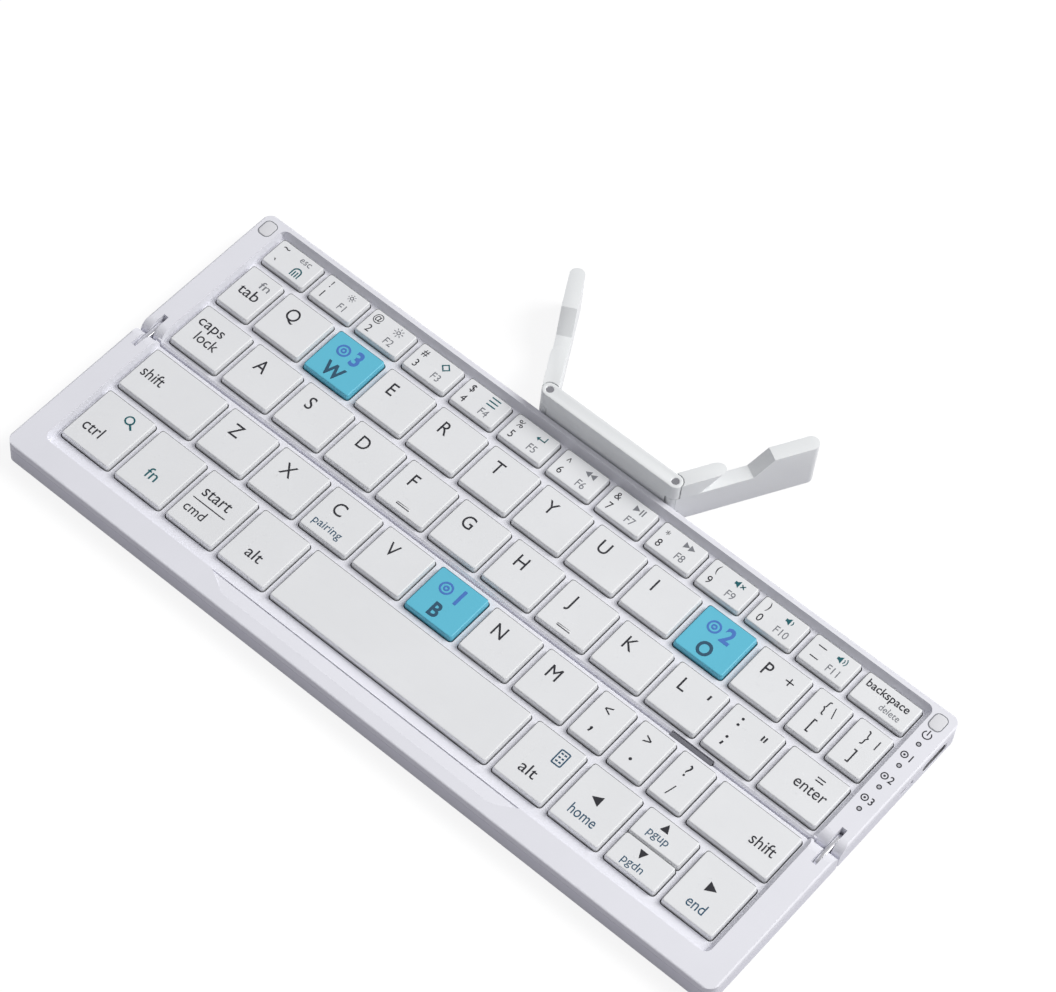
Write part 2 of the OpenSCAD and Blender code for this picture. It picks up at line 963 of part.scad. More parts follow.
module front_side_keys() {
    color("white")
        in_front()
            for (k = front_side)
                key_cap(k);
}

module arrow_keys() {
    color("white")
        in_front()
            for (k = arrows)
                key_cap(k);
}

module space_bar() {
    color("white")
        in_front()
            key_cap(space_key);
}

rear_top_case();
rear_bottom_case();
rear_base_plate();
rear_dome_sheet();
main_circuit_board();
usb_socket();
power_slider();
indicator_lenses();
bumper_pads();
rear_feet();
rear_screws();
rear_hinge_pins();
stand_bar();
wing_pins();
left_stand_wing();
right_stand_wing();
hinge_links();
front_top_case();
front_bottom_case();
front_base_plate();
front_dome_sheet();
battery();
front_feet();
front_screws();
front_hinge_pins();
flex_ribbon();
rear_key(upper_letters[0], "white");  // key_q
rear_key(upper_letters[1], "mediumturquoise");  // key_w
rear_key(upper_letters[2], "white");  // key_e
rear_key(upper_letters[3], "white");  // key_r
rear_key(upper_letters[4], "white");  // key_t
rear_key(upper_letters[5], "white");  // key_y
rear_key(upper_letters[6], "white");  // key_u
rear_key(upper_letters[7], "white");  // key_i
rear_key(upper_letters[8], "mediumturquoise");  // key_o
rear_key(upper_letters[9], "white");  // key_p
rear_key(home_letters[0], "white");  // key_a
rear_key(home_letters[1], "white");  // key_s
rear_key(home_letters[2], "white");  // key_d
home_key(home_letters[3]);  // key_f
rear_key(home_letters[4], "white");  // key_g
rear_key(home_letters[5], "white");  // key_h
home_key(home_letters[6]);  // key_j
rear_key(home_letters[7], "white");  // key_k
rear_key(home_letters[8], "white");  // key_l
front_key(lower_letters[0], "white");  // key_z
front_key(lower_letters[1], "white");  // key_x
front_key(lower_letters[2], "white");  // key_c
front_key(lower_letters[3], "white");  // key_v
front_key(lower_letters[4], "mediumturquoise");  // key_b
front_key(lower_letters[5], "white");  // key_n
front_key(lower_letters[6], "white");  // key_m
space_bar();
number_row_keys();
rear_side_keys();
front_side_keys();
arrow_keys();
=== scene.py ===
# %% [markdown]
# # A folding keyboard with a stand, dressed for its picture
#
# The keyboard is already built to size elsewhere and arrives as a fixed frame of named nodes.
# This lesson gives it its looks: keycaps with soft edges, printed legends, moulded plastic, metal
# links, lights and a plain studio. Sizes are in metres, and millimetres are written as n * MM.

import json
import math

import bmesh
import bpy
import numpy as np
from mathutils import Matrix, Vector


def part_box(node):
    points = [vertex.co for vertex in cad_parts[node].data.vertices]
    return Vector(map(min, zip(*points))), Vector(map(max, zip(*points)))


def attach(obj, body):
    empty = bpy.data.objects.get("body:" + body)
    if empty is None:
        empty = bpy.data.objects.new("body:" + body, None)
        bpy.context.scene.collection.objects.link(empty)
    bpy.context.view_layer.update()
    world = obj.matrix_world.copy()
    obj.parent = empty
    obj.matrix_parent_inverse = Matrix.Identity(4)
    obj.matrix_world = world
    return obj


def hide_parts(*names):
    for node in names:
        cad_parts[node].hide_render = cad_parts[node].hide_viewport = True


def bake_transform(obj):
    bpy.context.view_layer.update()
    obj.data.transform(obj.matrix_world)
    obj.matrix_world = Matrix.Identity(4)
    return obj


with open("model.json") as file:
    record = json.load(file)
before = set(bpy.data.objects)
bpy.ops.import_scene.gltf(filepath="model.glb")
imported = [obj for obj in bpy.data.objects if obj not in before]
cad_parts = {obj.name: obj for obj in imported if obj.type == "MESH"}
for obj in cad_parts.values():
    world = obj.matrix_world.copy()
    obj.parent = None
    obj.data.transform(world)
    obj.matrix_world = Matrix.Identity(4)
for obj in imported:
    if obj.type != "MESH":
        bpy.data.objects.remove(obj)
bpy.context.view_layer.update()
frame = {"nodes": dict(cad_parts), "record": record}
MM = 0.001
print("nodes in the frame:", len(frame["nodes"]))

# %% [markdown]
# ## The camera
#
# A product picture like this one is taken with a long lens from about eighty-five centimetres, high
# over the front right corner. The horizon isn't level: the camera is rolled a few degrees. A look-at
# rotation gives the direction, and the roll turns the camera about its own line of sight.

# %% Camera
IMAGE_WIDTH = 1056
FOCAL_PIXELS = 3731.4
SENSOR_WIDTH = 36
CAMERA_PLACE = Vector((260.0, -383.1, 718.6)) * MM
CAMERA_AIM = Vector((-5.86, 7.86, 7.5)) * MM
CAMERA_ROLL = math.radians(7.2)

camera = bpy.data.objects.new("camera", bpy.data.cameras.new("camera"))
bpy.context.scene.collection.objects.link(camera)
camera.data.sensor_fit = "HORIZONTAL"
camera.data.sensor_width = SENSOR_WIDTH
camera.data.lens = FOCAL_PIXELS / IMAGE_WIDTH * SENSOR_WIDTH
camera.data.clip_start = 50 * MM
look = (CAMERA_AIM - CAMERA_PLACE).to_track_quat("-Z", "Y").to_matrix().to_4x4()
camera.matrix_world = Matrix.Translation(CAMERA_PLACE) @ look @ Matrix.Rotation(CAMERA_ROLL, 4, "Z")
bpy.context.scene.camera = camera
distance = (CAMERA_AIM - CAMERA_PLACE).length
print("lens", round(camera.data.lens, 1), "mm, distance", round(distance, 3), "m")

# %% [markdown]
# ## Shader maths as sums
#
# A material is a graph of nodes. Written node by node it is long and hard to read, so a small
# class wraps one output socket and turns + - and * into Math nodes. Then a mask is written the
# way it is thought of, such as 1 - mask * 0.4.


# %% A wire that can be used in sums
class Wire:
    """One output of a node; arithmetic on it adds Math nodes to the same graph."""

    def __init__(self, graph, socket):
        self.graph = graph
        self.socket = socket

    def _sum(self, operation, left, right):
        return self.graph.node("ShaderNodeMath", {"operation": operation}, {0: left, 1: right})

    def __add__(self, other):
        return self._sum("ADD", self, other)

    def __radd__(self, other):
        return self._sum("ADD", other, self)

    def __sub__(self, other):
        return self._sum("SUBTRACT", self, other)

    def __rsub__(self, other):
        return self._sum("SUBTRACT", other, self)

    def __mul__(self, other):
        return self._sum("MULTIPLY", self, other)

    def __rmul__(self, other):
        return self._sum("MULTIPLY", other, self)


class Graph:
    """The node graph of one material or of the world."""

    def __init__(self, owner):
        owner.use_nodes = True
        self.tree = owner.node_tree
        self.tree.nodes.clear()

    def node(self, kind, settings=None, values=None, output=0):
        """Adds a node: settings first, then a value or a Wire for each named or numbered socket."""
        made = self.tree.nodes.new(kind)
        for name, value in (settings or {}).items():
            setattr(made, name, value)
        for key, value in (values or {}).items():
            if isinstance(value, Wire):
                self.tree.links.new(value.socket, made.inputs[key])
            else:
                made.inputs[key].default_value = value
        return Wire(self, made.outputs[output]) if made.outputs else made

    def blend(self, mask, first, second):
        """A colour between first and second, by the mask."""
        values = {"Factor": mask, 6: first, 7: second}
        return self.node("ShaderNodeMix", {"data_type": "RGBA"}, values, output=2)

    def place(self):
        return self.node("ShaderNodeTexCoord", output="Object")

    def noise(self, place, size, detail=2.0):
        """Soft noise whose blots are about size metres across."""
        values = {"Vector": place, "Scale": 1 / size, "Detail": detail}
        return self.node("ShaderNodeTexNoise", values=values, output=0)

    def rise(self, value, low, high):
        """0 below low and 1 above high, with a smooth step between them."""
        values = {"Value": value, "From Min": low, "From Max": high}
        return self.node("ShaderNodeMapRange", {"interpolation_type": "SMOOTHSTEP"}, values)

    def compare(self, operation, first, second):
        return self.node("ShaderNodeMath", {"operation": operation}, {0: first, 1: second})

    def size_of(self, value):
        return self.node("ShaderNodeMath", {"operation": "ABSOLUTE"}, {0: value})

    def ray(self, kind):
        """1 on light rays of a kind, such as Is Camera Ray, and 0 on the others."""
        return self.node("ShaderNodeLightPath", output=kind)

    def relief(self, height, depth, strength=1.0):
        values = {"Height": height, "Distance": depth, "Strength": strength}
        return self.node("ShaderNodeBump", values=values)

    def surface(self, values):
        shader = self.node("ShaderNodeBsdfPrincipled", values=values)
        self.node("ShaderNodeOutputMaterial", values={"Surface": shader})


def colour(red, green, blue, alpha=1.0):
    """A colour given as it looks on screen, 0 to 255, in the linear values that a shader wants."""

    def linear(value):
        share = value / 255
        return share / 12.92 if share <= 0.04045 else ((share + 0.055) / 1.055) ** 2.4

    return (linear(red), linear(green), linear(blue), alpha)


def scaled(tint, factor):
    return tuple(channel * factor for channel in tint[:3]) + (1.0,)


# %% [markdown]
# ## Finishes
#
# Most of the keyboard is moulded plastic. The mould of the case is spark eroded, which leaves a
# fine dull grain, and the keycaps come from a smoother mould. Both are the same recipe with other
# numbers: broad blots vary the colour and the gloss a little, and a fine noise bends the normal.


# %% Plastics
SEAM_Y = (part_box("hinge_links")[0].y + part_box("hinge_links")[1].y) / 2
# Painted shade at the foot of each cap: the levels over which it fades out, and the share of the colour below
# them.
CAP_FOOT_SHADE = (4.9 * MM, 5.9 * MM, 0.45)
# Painted shade along the left and rear edges of a cap's top: levels and share of the colour.
CAP_EDGE_SHADE = (6.35 * MM, 6.5 * MM, 0.25)
# Painted shade on the walls inside the deck's openings: levels and share; DECK_END, DECK_NEAR and DECK_FAR
# bound the deck.
DECK_OPENING_SHADE = (4.7 * MM, 4.95 * MM, 0.3)
DECK_END = 97.5 * MM
DECK_NEAR = 1.7 * MM
DECK_FAR = 42.4 * MM
LEFT_REAR = (-0.71, 0.71, 0.0)
LEFT_REAR_TURN = (0.02, 0.2)
BLOT_SIZE = 14 * MM
MOTTLE = 0.03
BLOT_ROUGHNESS = 0.12
GRAIN_ROUGHNESS = 0.06


def plastic(name, tint, roughness, grain, depth, gloss=0.5, foot=None, opening=None, rim=None):
    """Moulded plastic: tint as a colour, grain and depth in metres. foot and opening are a low and
    a high level and the share of the colour below them, painted shade: foot darkens every low wall,
    where shade falls at the base of a cap, and opening only the walls inside the deck's openings. rim
    is painted shade on what lies above its levels and is turned to the left and the rear, a thin dark outline
    of a cap's top."""
    made = bpy.data.materials.new(name)
    graph = Graph(made)
    place = graph.place()
    blots = graph.noise(place, BLOT_SIZE, 3.0)
    fine = graph.noise(place, grain, 2.0)
    base = graph.blend(blots, scaled(tint, 1 - MOTTLE), scaled(tint, 1 + MOTTLE))
    # Painted shade: the colour darkens low on the walls, at the foot of a cap or inside the deck's openings.
    if foot or opening:
        low, high, share = foot or opening
        split = graph.tree.nodes.new("ShaderNodeSeparateXYZ")
        graph.tree.links.new(place.socket, split.inputs[0])
        x, y, z = (Wire(graph, output) for output in split.outputs)
        clear = graph.rise(z, low, high)
        if opening:
            from_seam = graph.size_of(y - SEAM_Y)
            outside = [
                graph.compare("GREATER_THAN", graph.size_of(x), DECK_END),
                graph.compare("LESS_THAN", from_seam, DECK_NEAR),
                graph.compare("GREATER_THAN", from_seam, DECK_FAR),
            ]
            for beyond in outside:
                clear = graph.compare("MAXIMUM", clear, beyond)
        base = graph.blend(clear, scaled(tint, share), base)
    # Painted shade: a thin darker outline where the top edge of a cap turns to the left and the rear.
    if rim:
        low, high, share = rim
        near_top = graph.rise(z, low, high)
        normal = graph.node("ShaderNodeTexCoord", output="Normal")
        dot_product = {"operation": "DOT_PRODUCT"}
        away = graph.node("ShaderNodeVectorMath", dot_product, {0: normal, 1: LEFT_REAR}, output="Value")
        turned = graph.rise(away, *LEFT_REAR_TURN)
        base = graph.blend(near_top * turned, base, scaled(tint, share))
    graph.surface({
        "Base Color": base,
        "Roughness": roughness + (blots - 0.5) * BLOT_ROUGHNESS + (fine - 0.5) * GRAIN_ROUGHNESS,
        "Specular IOR Level": gloss,
        "Normal": graph.relief(fine, depth),
    })
    return made


CAP_GRAIN = (0.12 * MM, 0.003 * MM)
CASE_GRAIN = (0.16 * MM, 0.006 * MM)
INK_FILM = (0.55, 0.1 * MM, 0.002 * MM)

# key_plastic and teal_plastic carry painted shade at the foot of each cap and along the left and rear edges
# of its top; deck_plastic carries painted shade inside the deck's openings.
key_plastic = plastic("key_plastic", colour(237, 238, 240), 0.42, *CAP_GRAIN, foot=CAP_FOOT_SHADE, rim=CAP_EDGE_SHADE)
teal_plastic = plastic("teal_plastic", colour(100, 196, 222), 0.4, *CAP_GRAIN, foot=CAP_FOOT_SHADE, rim=CAP_EDGE_SHADE)
case_plastic = plastic("case_plastic", colour(228, 228, 237), 0.5, *CASE_GRAIN)
deck_plastic = plastic("deck_plastic", colour(236, 236, 243), 0.5, *CASE_GRAIN, opening=DECK_OPENING_SHADE)
stand_plastic = plastic("stand_plastic", colour(238, 240, 241), 0.38, 0.14 * MM, 0.003 * MM)
switch_plastic = plastic("switch_plastic", colour(72, 72, 78), 0.5, 0.12 * MM, 0.005 * MM)
lens_plastic = plastic("lens_plastic", colour(190, 190, 196), 0.2, 0.1 * MM, 0.001 * MM)
pad_silicone = plastic("pad_silicone", colour(226, 226, 230), 0.6, 0.1 * MM, 0.004 * MM, gloss=0.4)
foot_rubber = plastic("foot_rubber", colour(182, 182, 188), 0.75, 0.2 * MM, 0.012 * MM, gloss=0.3)
dome_silicone = plastic("dome_silicone", colour(120, 120, 124), 0.5, 0.2 * MM, 0.004 * MM)
board_resist = plastic("board_resist", colour(40, 96, 62), 0.3, 0.3 * MM, 0.004 * MM)
ribbon_film = plastic("ribbon_film", colour(112, 112, 120), 0.45, 0.2 * MM, 0.004 * MM)
dark_ink = plastic("dark_ink", colour(48, 48, 54), *INK_FILM, gloss=0.3)
grey_ink = plastic("grey_ink", colour(128, 130, 136), *INK_FILM, gloss=0.3)
teal_ink = plastic("teal_ink", colour(30, 98, 106), *INK_FILM, gloss=0.3)
blue_ink = plastic("blue_ink", colour(78, 124, 200), *INK_FILM, gloss=0.3)
slate_ink = plastic("slate_ink", colour(52, 88, 112), *INK_FILM, gloss=0.3)
print("the seam lies at y =", round(SEAM_Y / MM, 2), "mm")

# %% [markdown]
# Metal parts are sheet steel and turned pins. Brushing or rolling leaves fine lines in one
# direction, which is a noise squeezed across them: the coordinates are scaled far more across the
# lines than along them.


# %% Metals
LINE_SQUEEZE = 0.05
LINE_DEPTH = 0.002 * MM
METAL_BLOT = 3 * MM


def metal(name, tint, roughness, lines_along="Y", line_width=0.05 * MM):
    """Metal with fine lines along one axis: the coordinates shrink along it, so the noise stretches."""
    made = bpy.data.materials.new(name)
    graph = Graph(made)
    stretch = {"X": (LINE_SQUEEZE, 1, 1), "Y": (1, LINE_SQUEEZE, 1)}[lines_along]
    place = graph.node("ShaderNodeMapping", values={"Vector": graph.place(), "Scale": stretch})
    lines = graph.noise(place, line_width, 3.0)
    blots = graph.noise(graph.place(), METAL_BLOT, 2.0)
    graph.surface({
        "Base Color": graph.blend(lines, scaled(tint, 0.9), scaled(tint, 1.05)),
        "Metallic": 1.0,
        "Roughness": roughness + (lines - 0.5) * 0.15 + (blots - 0.5) * 0.08,
        "Normal": graph.relief(lines, LINE_DEPTH, 0.6),
    })
    return made


link_metal = metal("link_metal", colour(236, 236, 240), 0.34)
steel = metal("steel", colour(204, 204, 208), 0.3, "X")
socket_metal = metal("socket_metal", colour(196, 196, 200), 0.28, "X")
foil = metal("foil", colour(188, 192, 200), 0.35, "X", 0.4 * MM)
print("metals:", link_metal.name, steel.name, socket_metal.name, foil.name)

# %% [markdown]
# ## Studio
#
# The picture has a white ground with next to no shadow. The ground is a plain sheet that the
# camera and reflections see as white, while the light that it throws back at the keyboard is that
# of a mid grey, so that the front and right faces stay as grey as they are in the picture. A big
# soft lamp stands behind on the right, where the tops are brightest, and a weak one fills from the left.


# %% Ground
GROUND_HALF = 2.0
PAPER_TINT = (0.2, 0.2, 0.2, 1)
PAPER_GLOW = 0.86
BOUNCE_TINT = (0.42, 0.41, 0.46, 1)
ground_mesh = bpy.data.meshes.new("ground")
corners = [(-1, -1), (1, -1), (1, 1), (-1, 1)]
ground_mesh.from_pydata([(x * GROUND_HALF, y * GROUND_HALF, 0) for x, y in corners], [], [(0, 1, 2, 3)])
ground = bpy.data.objects.new("ground", ground_mesh)
bpy.context.scene.collection.objects.link(ground)

ground_paper = bpy.data.materials.new("ground_paper")
graph = Graph(ground_paper)
seen = graph.ray("Is Camera Ray")
for kind in ("Is Glossy Ray", "Is Transmission Ray"):
    seen = graph.compare("MAXIMUM", seen, graph.ray(kind))
paper = graph.node("ShaderNodeBsdfDiffuse", values={"Color": PAPER_TINT})
glow = graph.node("ShaderNodeEmission", values={"Color": (1, 1, 1, 1), "Strength": PAPER_GLOW})
lit_paper = graph.node("ShaderNodeAddShader", values={0: paper, 1: glow})
grey_paper = graph.node("ShaderNodeBsdfDiffuse", values={"Color": BOUNCE_TINT})
either = graph.node("ShaderNodeMixShader", values={0: seen, 1: grey_paper, 2: lit_paper})
graph.node("ShaderNodeOutputMaterial", values={"Surface": either})
ground_mesh.materials.append(ground_paper)
print("ground:", 2 * GROUND_HALF, "m across")

# %% [markdown]
# The room is an even light all round. The camera sees it white, and the keyboard gets about a third
# of that, so that the lamps still give the keys a bright and a dark side.

# %% World and lamps
AMBIENT = 0.32
world = bpy.data.worlds.new("studio")
bpy.context.scene.world = world
graph = Graph(world)
room = graph.node("ShaderNodeBackground", values={"Color": (0.96, 0.96, 1.0, 1), "Strength": AMBIENT})
white = graph.node("ShaderNodeBackground", values={"Color": (1, 1, 1, 1), "Strength": 1.0})
either = graph.node("ShaderNodeMixShader", values={0: graph.ray("Is Camera Ray"), 1: room, 2: white})
graph.node("ShaderNodeOutputWorld", values={"Surface": either})


def softbox(name, place, size, watts, tint):
    """A square lamp that faces the keyboard."""
    lamp = bpy.data.lights.new(name, "AREA")
    lamp.shape = "SQUARE"
    lamp.size = size
    lamp.energy = watts
    lamp.color = tint
    box = bpy.data.objects.new(name, lamp)
    box.location = place
    box.rotation_euler = (-Vector(place)).to_track_quat("-Z", "Y").to_euler()
    bpy.context.scene.collection.objects.link(box)
    print(name, watts, "W")


softbox("main_lamp", (0.9, 0.8, 1.35), 1.0, 27.5, (1.0, 1.0, 0.98))
softbox("fill_lamp", (-1.0, 0.5, 1.0), 0.8, 1.0, (0.9, 0.9, 1.0))
bpy.context.scene.view_settings.view_transform = "Standard"
print("ambient light:", AMBIENT)

# %% [markdown]
# ## Lofts: one recipe for many parts
#
# A keycap, a pad and a foot all have a shape that can be cut into flat rings one above the
# other. Each ring is a rounded rectangle, which becomes a circle when its corner radius is as large as
# its half sizes. So one function turns four short lists (half width, half depth, corner radius,
# height) into a closed surface. It is a surface of two parameters: the ring and the place on it.


# %% Loft of rounded rectangles
CORNER_STEPS = 6


def loft(middle, half_x, half_y, radius, height, steps=CORNER_STEPS):
    """Closed surface through rings. Point of a ring = corner centre + radius * (cos t, sin t), where the
    corner centre lies radius inside the corner and t runs over a quarter turn at each corner."""
    half_x, half_y, radius, height = (np.asarray(v, float)[:, None] for v in (half_x, half_y, radius, height))
    quarter = np.linspace(0, math.pi / 2, steps)
    turn = np.concatenate([quarter + k * math.pi / 2 for k in range(4)])[None, :]
    side_x = np.repeat([1, -1, -1, 1], steps)[None, :]
    side_y = np.repeat([1, 1, -1, -1], steps)[None, :]
    x = middle[0] + side_x * (half_x - radius) + radius * np.cos(turn)
    y = middle[1] + side_y * (half_y - radius) + radius * np.sin(turn)
    z = height + 0 * x
    points = np.stack([x, y, z], -1)
    return ring_surface(points)


def ring_surface(points):
    """Vertices and faces of a tube through rings of equal length, closed with a flat face at both ends."""
    rings, count = points.shape[:2]
    first = (np.arange(rings - 1)[:, None] * count + np.arange(count)[None, :]).ravel()
    following = (np.arange(rings - 1)[:, None] * count + (np.arange(count)[None, :] + 1) % count).ravel()
    quads = np.stack([first, following, following + count, first + count], -1)
    faces = quads.tolist()
    faces.append(list(range(count))[::-1])
    faces.append(list(range((rings - 1) * count, rings * count)))
    return points.reshape(-1, 3), faces


# %% [markdown]
# A key is one object but many surfaces: the cap and each stroke of ink on it. Joining objects one
# by one is slow, so a store gathers the surfaces with their materials and makes one mesh of them.

# %% A store of surfaces that becomes one piece
SHARP_ANGLE = 38


class Piece:
    """Gathers surfaces, each with a material, and makes one object from them."""

    def __init__(self, name):
        self.name = name
        self.points = []
        self.faces = []
        self.finish = []
        self.materials = []
        self.count = 0

    def add(self, surface, material):
        points, faces = surface
        if material not in self.materials:
            self.materials.append(material)
        index = self.materials.index(material)
        self.points.append(points)
        self.faces.extend([[v + self.count for v in face] for face in faces])
        self.finish.extend([index] * len(faces))
        self.count += len(points)

    def build(self, body, stands_for=()):
        """Makes the mesh, smooth but for its sharp edges, and fixes it to its body. A piece that is
        given no body is left unattached here."""
        mesh = bpy.data.meshes.new(self.name)
        mesh.from_pydata(np.concatenate(self.points).tolist(), [], self.faces)
        for material in self.materials:
            mesh.materials.append(material)
        mesh.polygons.foreach_set("material_index", self.finish)
        mesh.polygons.foreach_set("use_smooth", [True] * len(self.faces))
        mesh.set_sharp_from_angle(angle=math.radians(SHARP_ANGLE))
        mesh.update()
        made = bpy.data.objects.new(self.name, mesh)
        bpy.context.scene.collection.objects.link(made)
        if body:
            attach(made, body)
        if stands_for:
            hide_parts(*stands_for)
        return made


# %% [markdown]
# ## Print
#
# The legends are pad printed: a film of ink a few hundredths of a millimetre thick. They could be
# masks in the material, but ink in its own mesh has crisp edges at any distance. Blender's text
# objects give the glyphs, bold ones with their outline pushed out a little, and the mesh is taken
# out of the text before it is placed.


# %% Ink shapes
INK_THICKNESS = 0.06 * MM
INK_SUNK = 0.04 * MM
LIGHT_STROKE = 0.0
BOLD_STROKE = 0.028
LETTER_NARROWING = 0.88


def glyph_mesh(text, stroke):
    """Points and faces of a line of text of size 1, centred in x, with its baseline at y = 0."""
    curve = bpy.data.curves.new("legend", "FONT")
    curve.body = text
    curve.align_x = "CENTER"
    curve.offset = stroke
    curve.resolution_u = 4
    curve.extrude = 0.5
    holder = bpy.data.objects.new("legend", curve)
    bpy.context.scene.collection.objects.link(holder)
    bpy.context.view_layer.update()
    mesh = bpy.data.meshes.new_from_object(holder.evaluated_get(bpy.context.evaluated_depsgraph_get()))
    points = np.zeros(len(mesh.vertices) * 3)
    mesh.vertices.foreach_get("co", points)
    faces = [list(face.vertices) for face in mesh.polygons]
    bpy.data.objects.remove(holder)
    bpy.data.curves.remove(curve)
    bpy.data.meshes.remove(mesh)
    return points.reshape(-1, 3), faces


capital_points, _ = glyph_mesh("H", 0.0)
CAPITAL_HEIGHT = float(np.ptp(capital_points[:, 1]))
print("a capital letter of size 1 is", round(CAPITAL_HEIGHT, 3), "high")


def word(text, x, y, z, capital, stroke=LIGHT_STROKE, width=None, centred=False):
    """Text as ink: x is its middle, y its baseline or, if centred, the middle of its height. capital is the
    height of a capital letter, and width, where it is given, that of the whole text, all in metres."""
    points, faces = glyph_mesh(text, stroke)
    size = capital / CAPITAL_HEIGHT
    stretch = width / np.ptp(points[:, 0]) if width else size * LETTER_NARROWING
    flat = points * (stretch, size, INK_THICKNESS)
    middle = (flat.max(0) + flat.min(0)) / 2
    shift_y = y - middle[1] if centred else y
    return flat + (x - middle[0], shift_y, z + INK_THICKNESS / 2 - INK_SUNK), faces


def ink_loop(outer, inner, z):
    """A flat ink shape between two outlines of as many points, such as a ring or a frame."""
    low = z - INK_SUNK
    high = z + INK_THICKNESS - INK_SUNK
    rings = [(outer, low), (outer, high), (inner, high), (inner, low)]
    points = np.concatenate([np.column_stack([line, np.full(len(line), level)]) for line, level in rings])
    count = len(outer)
    here = np.arange(count)
    there = (here + 1) % count
    faces = []
    for k in range(4):
        a = k * count
        b = (k + 1) % 4 * count
        faces.extend(np.stack([here + a, there + a, there + b, here + b], -1).tolist())
    return points, faces


def ink_plate(outline, z):
    """A flat ink shape inside one outline. Twice its area, with a sign, is the sum of the cross products of
    neighbouring points; where that is negative the outline runs clockwise and is turned round."""
    outline = np.asarray(outline, float)
    following = np.roll(outline, -1, axis=0)
    if (outline[:, 0] * following[:, 1] - outline[:, 1] * following[:, 0]).sum() < 0:
        outline = outline[::-1]
    low = np.column_stack([outline, np.full(len(outline), z - INK_SUNK)])
    high = low + (0, 0, INK_THICKNESS)
    return ring_surface(np.stack([low, high]))


def circle_line(x, y, radius, count=24):
    turn = np.arange(count) / count * 2 * math.pi
    return np.column_stack([x + radius * np.cos(turn), y + radius * np.sin(turn)])


def ink_ring(x, y, z, radius, stroke):
    return ink_loop(circle_line(x, y, radius), circle_line(x, y, radius - stroke), z)


def rounded_line(x, y, half_x, half_y, radius, steps=5):
    """Outline of a rounded rectangle: a quarter turn round each of its four corner centres."""
    turn = (np.linspace(0, math.pi / 2, steps)[None, :] + np.arange(4)[:, None] * math.pi / 2).ravel()
    side_x = np.repeat([1, -1, -1, 1], steps)
    side_y = np.repeat([1, 1, -1, -1], steps)
    return np.column_stack([
        x + side_x * (half_x - radius) + radius * np.cos(turn),
        y + side_y * (half_y - radius) + radius * np.sin(turn),
    ])


def ink_arc(x, y, z, radius, stroke, start, end, steps=14):
    """Part of a ring, from the angle start to end in degrees: a small rectangle carried along the arc."""
    turn = np.radians(np.linspace(start, end, steps))[:, None]
    reach = radius + np.array([-stroke, -stroke, 0, 0])[None, :]
    height = z + np.array([-INK_SUNK, INK_THICKNESS - INK_SUNK, INK_THICKNESS - INK_SUNK, -INK_SUNK])
    points = np.stack([x + reach * np.cos(turn), y + reach * np.sin(turn), height + 0 * turn], -1)
    return ring_surface(points)


def ink_bar(x1, y1, x2, y2, z, stroke):
    """A straight stroke from one point to another."""
    along = np.array([x2 - x1, y2 - y1])
    along = along / np.linalg.norm(along)
    across = np.array([-along[1], along[0]]) * stroke / 2
    a = np.array([x1, y1])
    b = np.array([x2, y2])
    return ink_plate([a - across, b - across, b + across, a + across], z)


# %% [markdown]
# ## Keycaps
#
# A keycap is a thin tray turned upside down. Its sides lean in a little, its upper edge is round, and
# its top is very slightly dished so that a finger finds the middle. The rings start at the foot of
# the plunger, run up into the hollow, out and down its wall, round the skirt and over the top.


# %% One keycap as a loft
CAP_TAPER = 0.15 * MM
CAP_EDGE = 0.28 * MM
CAP_DISH = 0.03 * MM
CAP_WALL = 0.75 * MM
CAP_ROOF = 1.0 * MM
CAP_CORNER = 0.65 * MM
SKIRT_HEIGHT = 4.8 * MM
SKIRT_CHAMFER = 0.05 * MM
PLUNGER_RADIUS = 1.5 * MM
EDGE_STEPS = 6
DISH_RINGS = ((0.2 * MM, 0.0), (1.2 * MM, 0.3), (2.4 * MM, 0.7), (3.4 * MM, 1.0))


def keycap(low, high, top):
    """Surface of one keycap between the corners low and high of its box, with its top at height top.
    A ring is (half sizes, corner radius, height). Along the round edge, with the quarter turn t, the
    inset is taper + edge * (1 - cos t) and the height is top - edge * (1 - sin t)."""
    middle = (low[:2] + high[:2]) / 2
    half = (high[:2] - low[:2]) / 2
    plunger = np.array([PLUNGER_RADIUS, PLUNGER_RADIUS])
    rings = [
        (plunger, PLUNGER_RADIUS, low[2]),
        (plunger, PLUNGER_RADIUS, top - CAP_ROOF),
        (half - CAP_WALL, CAP_CORNER / 2, top - CAP_ROOF),
        (half - CAP_WALL, CAP_CORNER / 2, SKIRT_HEIGHT),
        (half - SKIRT_CHAMFER, CAP_CORNER, SKIRT_HEIGHT),
        (half, CAP_CORNER, SKIRT_HEIGHT + SKIRT_CHAMFER),
    ]
    for turn in np.linspace(0, math.pi / 2, EDGE_STEPS):
        inset = CAP_TAPER + CAP_EDGE * (1 - math.cos(turn))
        rings.append((half - inset, CAP_CORNER, top - CAP_EDGE * (1 - math.sin(turn))))
    for inset, share in DISH_RINGS:
        narrowed = half - CAP_TAPER - CAP_EDGE - inset
        rings.append((narrowed, min(CAP_CORNER, narrowed.min() * 0.9), top - CAP_DISH * share))
    sizes = np.array([ring[0] for ring in rings])
    return loft(middle, sizes[:, 0], sizes[:, 1], [r[1] for r in rings], [r[2] for r in rings])


# %% [markdown]
# Some nodes of the frame hold a whole bank of caps, so each cap has to be found in its bank first. The
# triangles of a cap overlap each other when they are looked at along one axis, and the gap to the
# next cap shows as a stretch where no triangle lies. Cutting at such gaps along Y, then X, then Y
# again leaves one group for each cap.


# %% Finding the caps of a bank
LEAST_GAP = 0.01 * MM


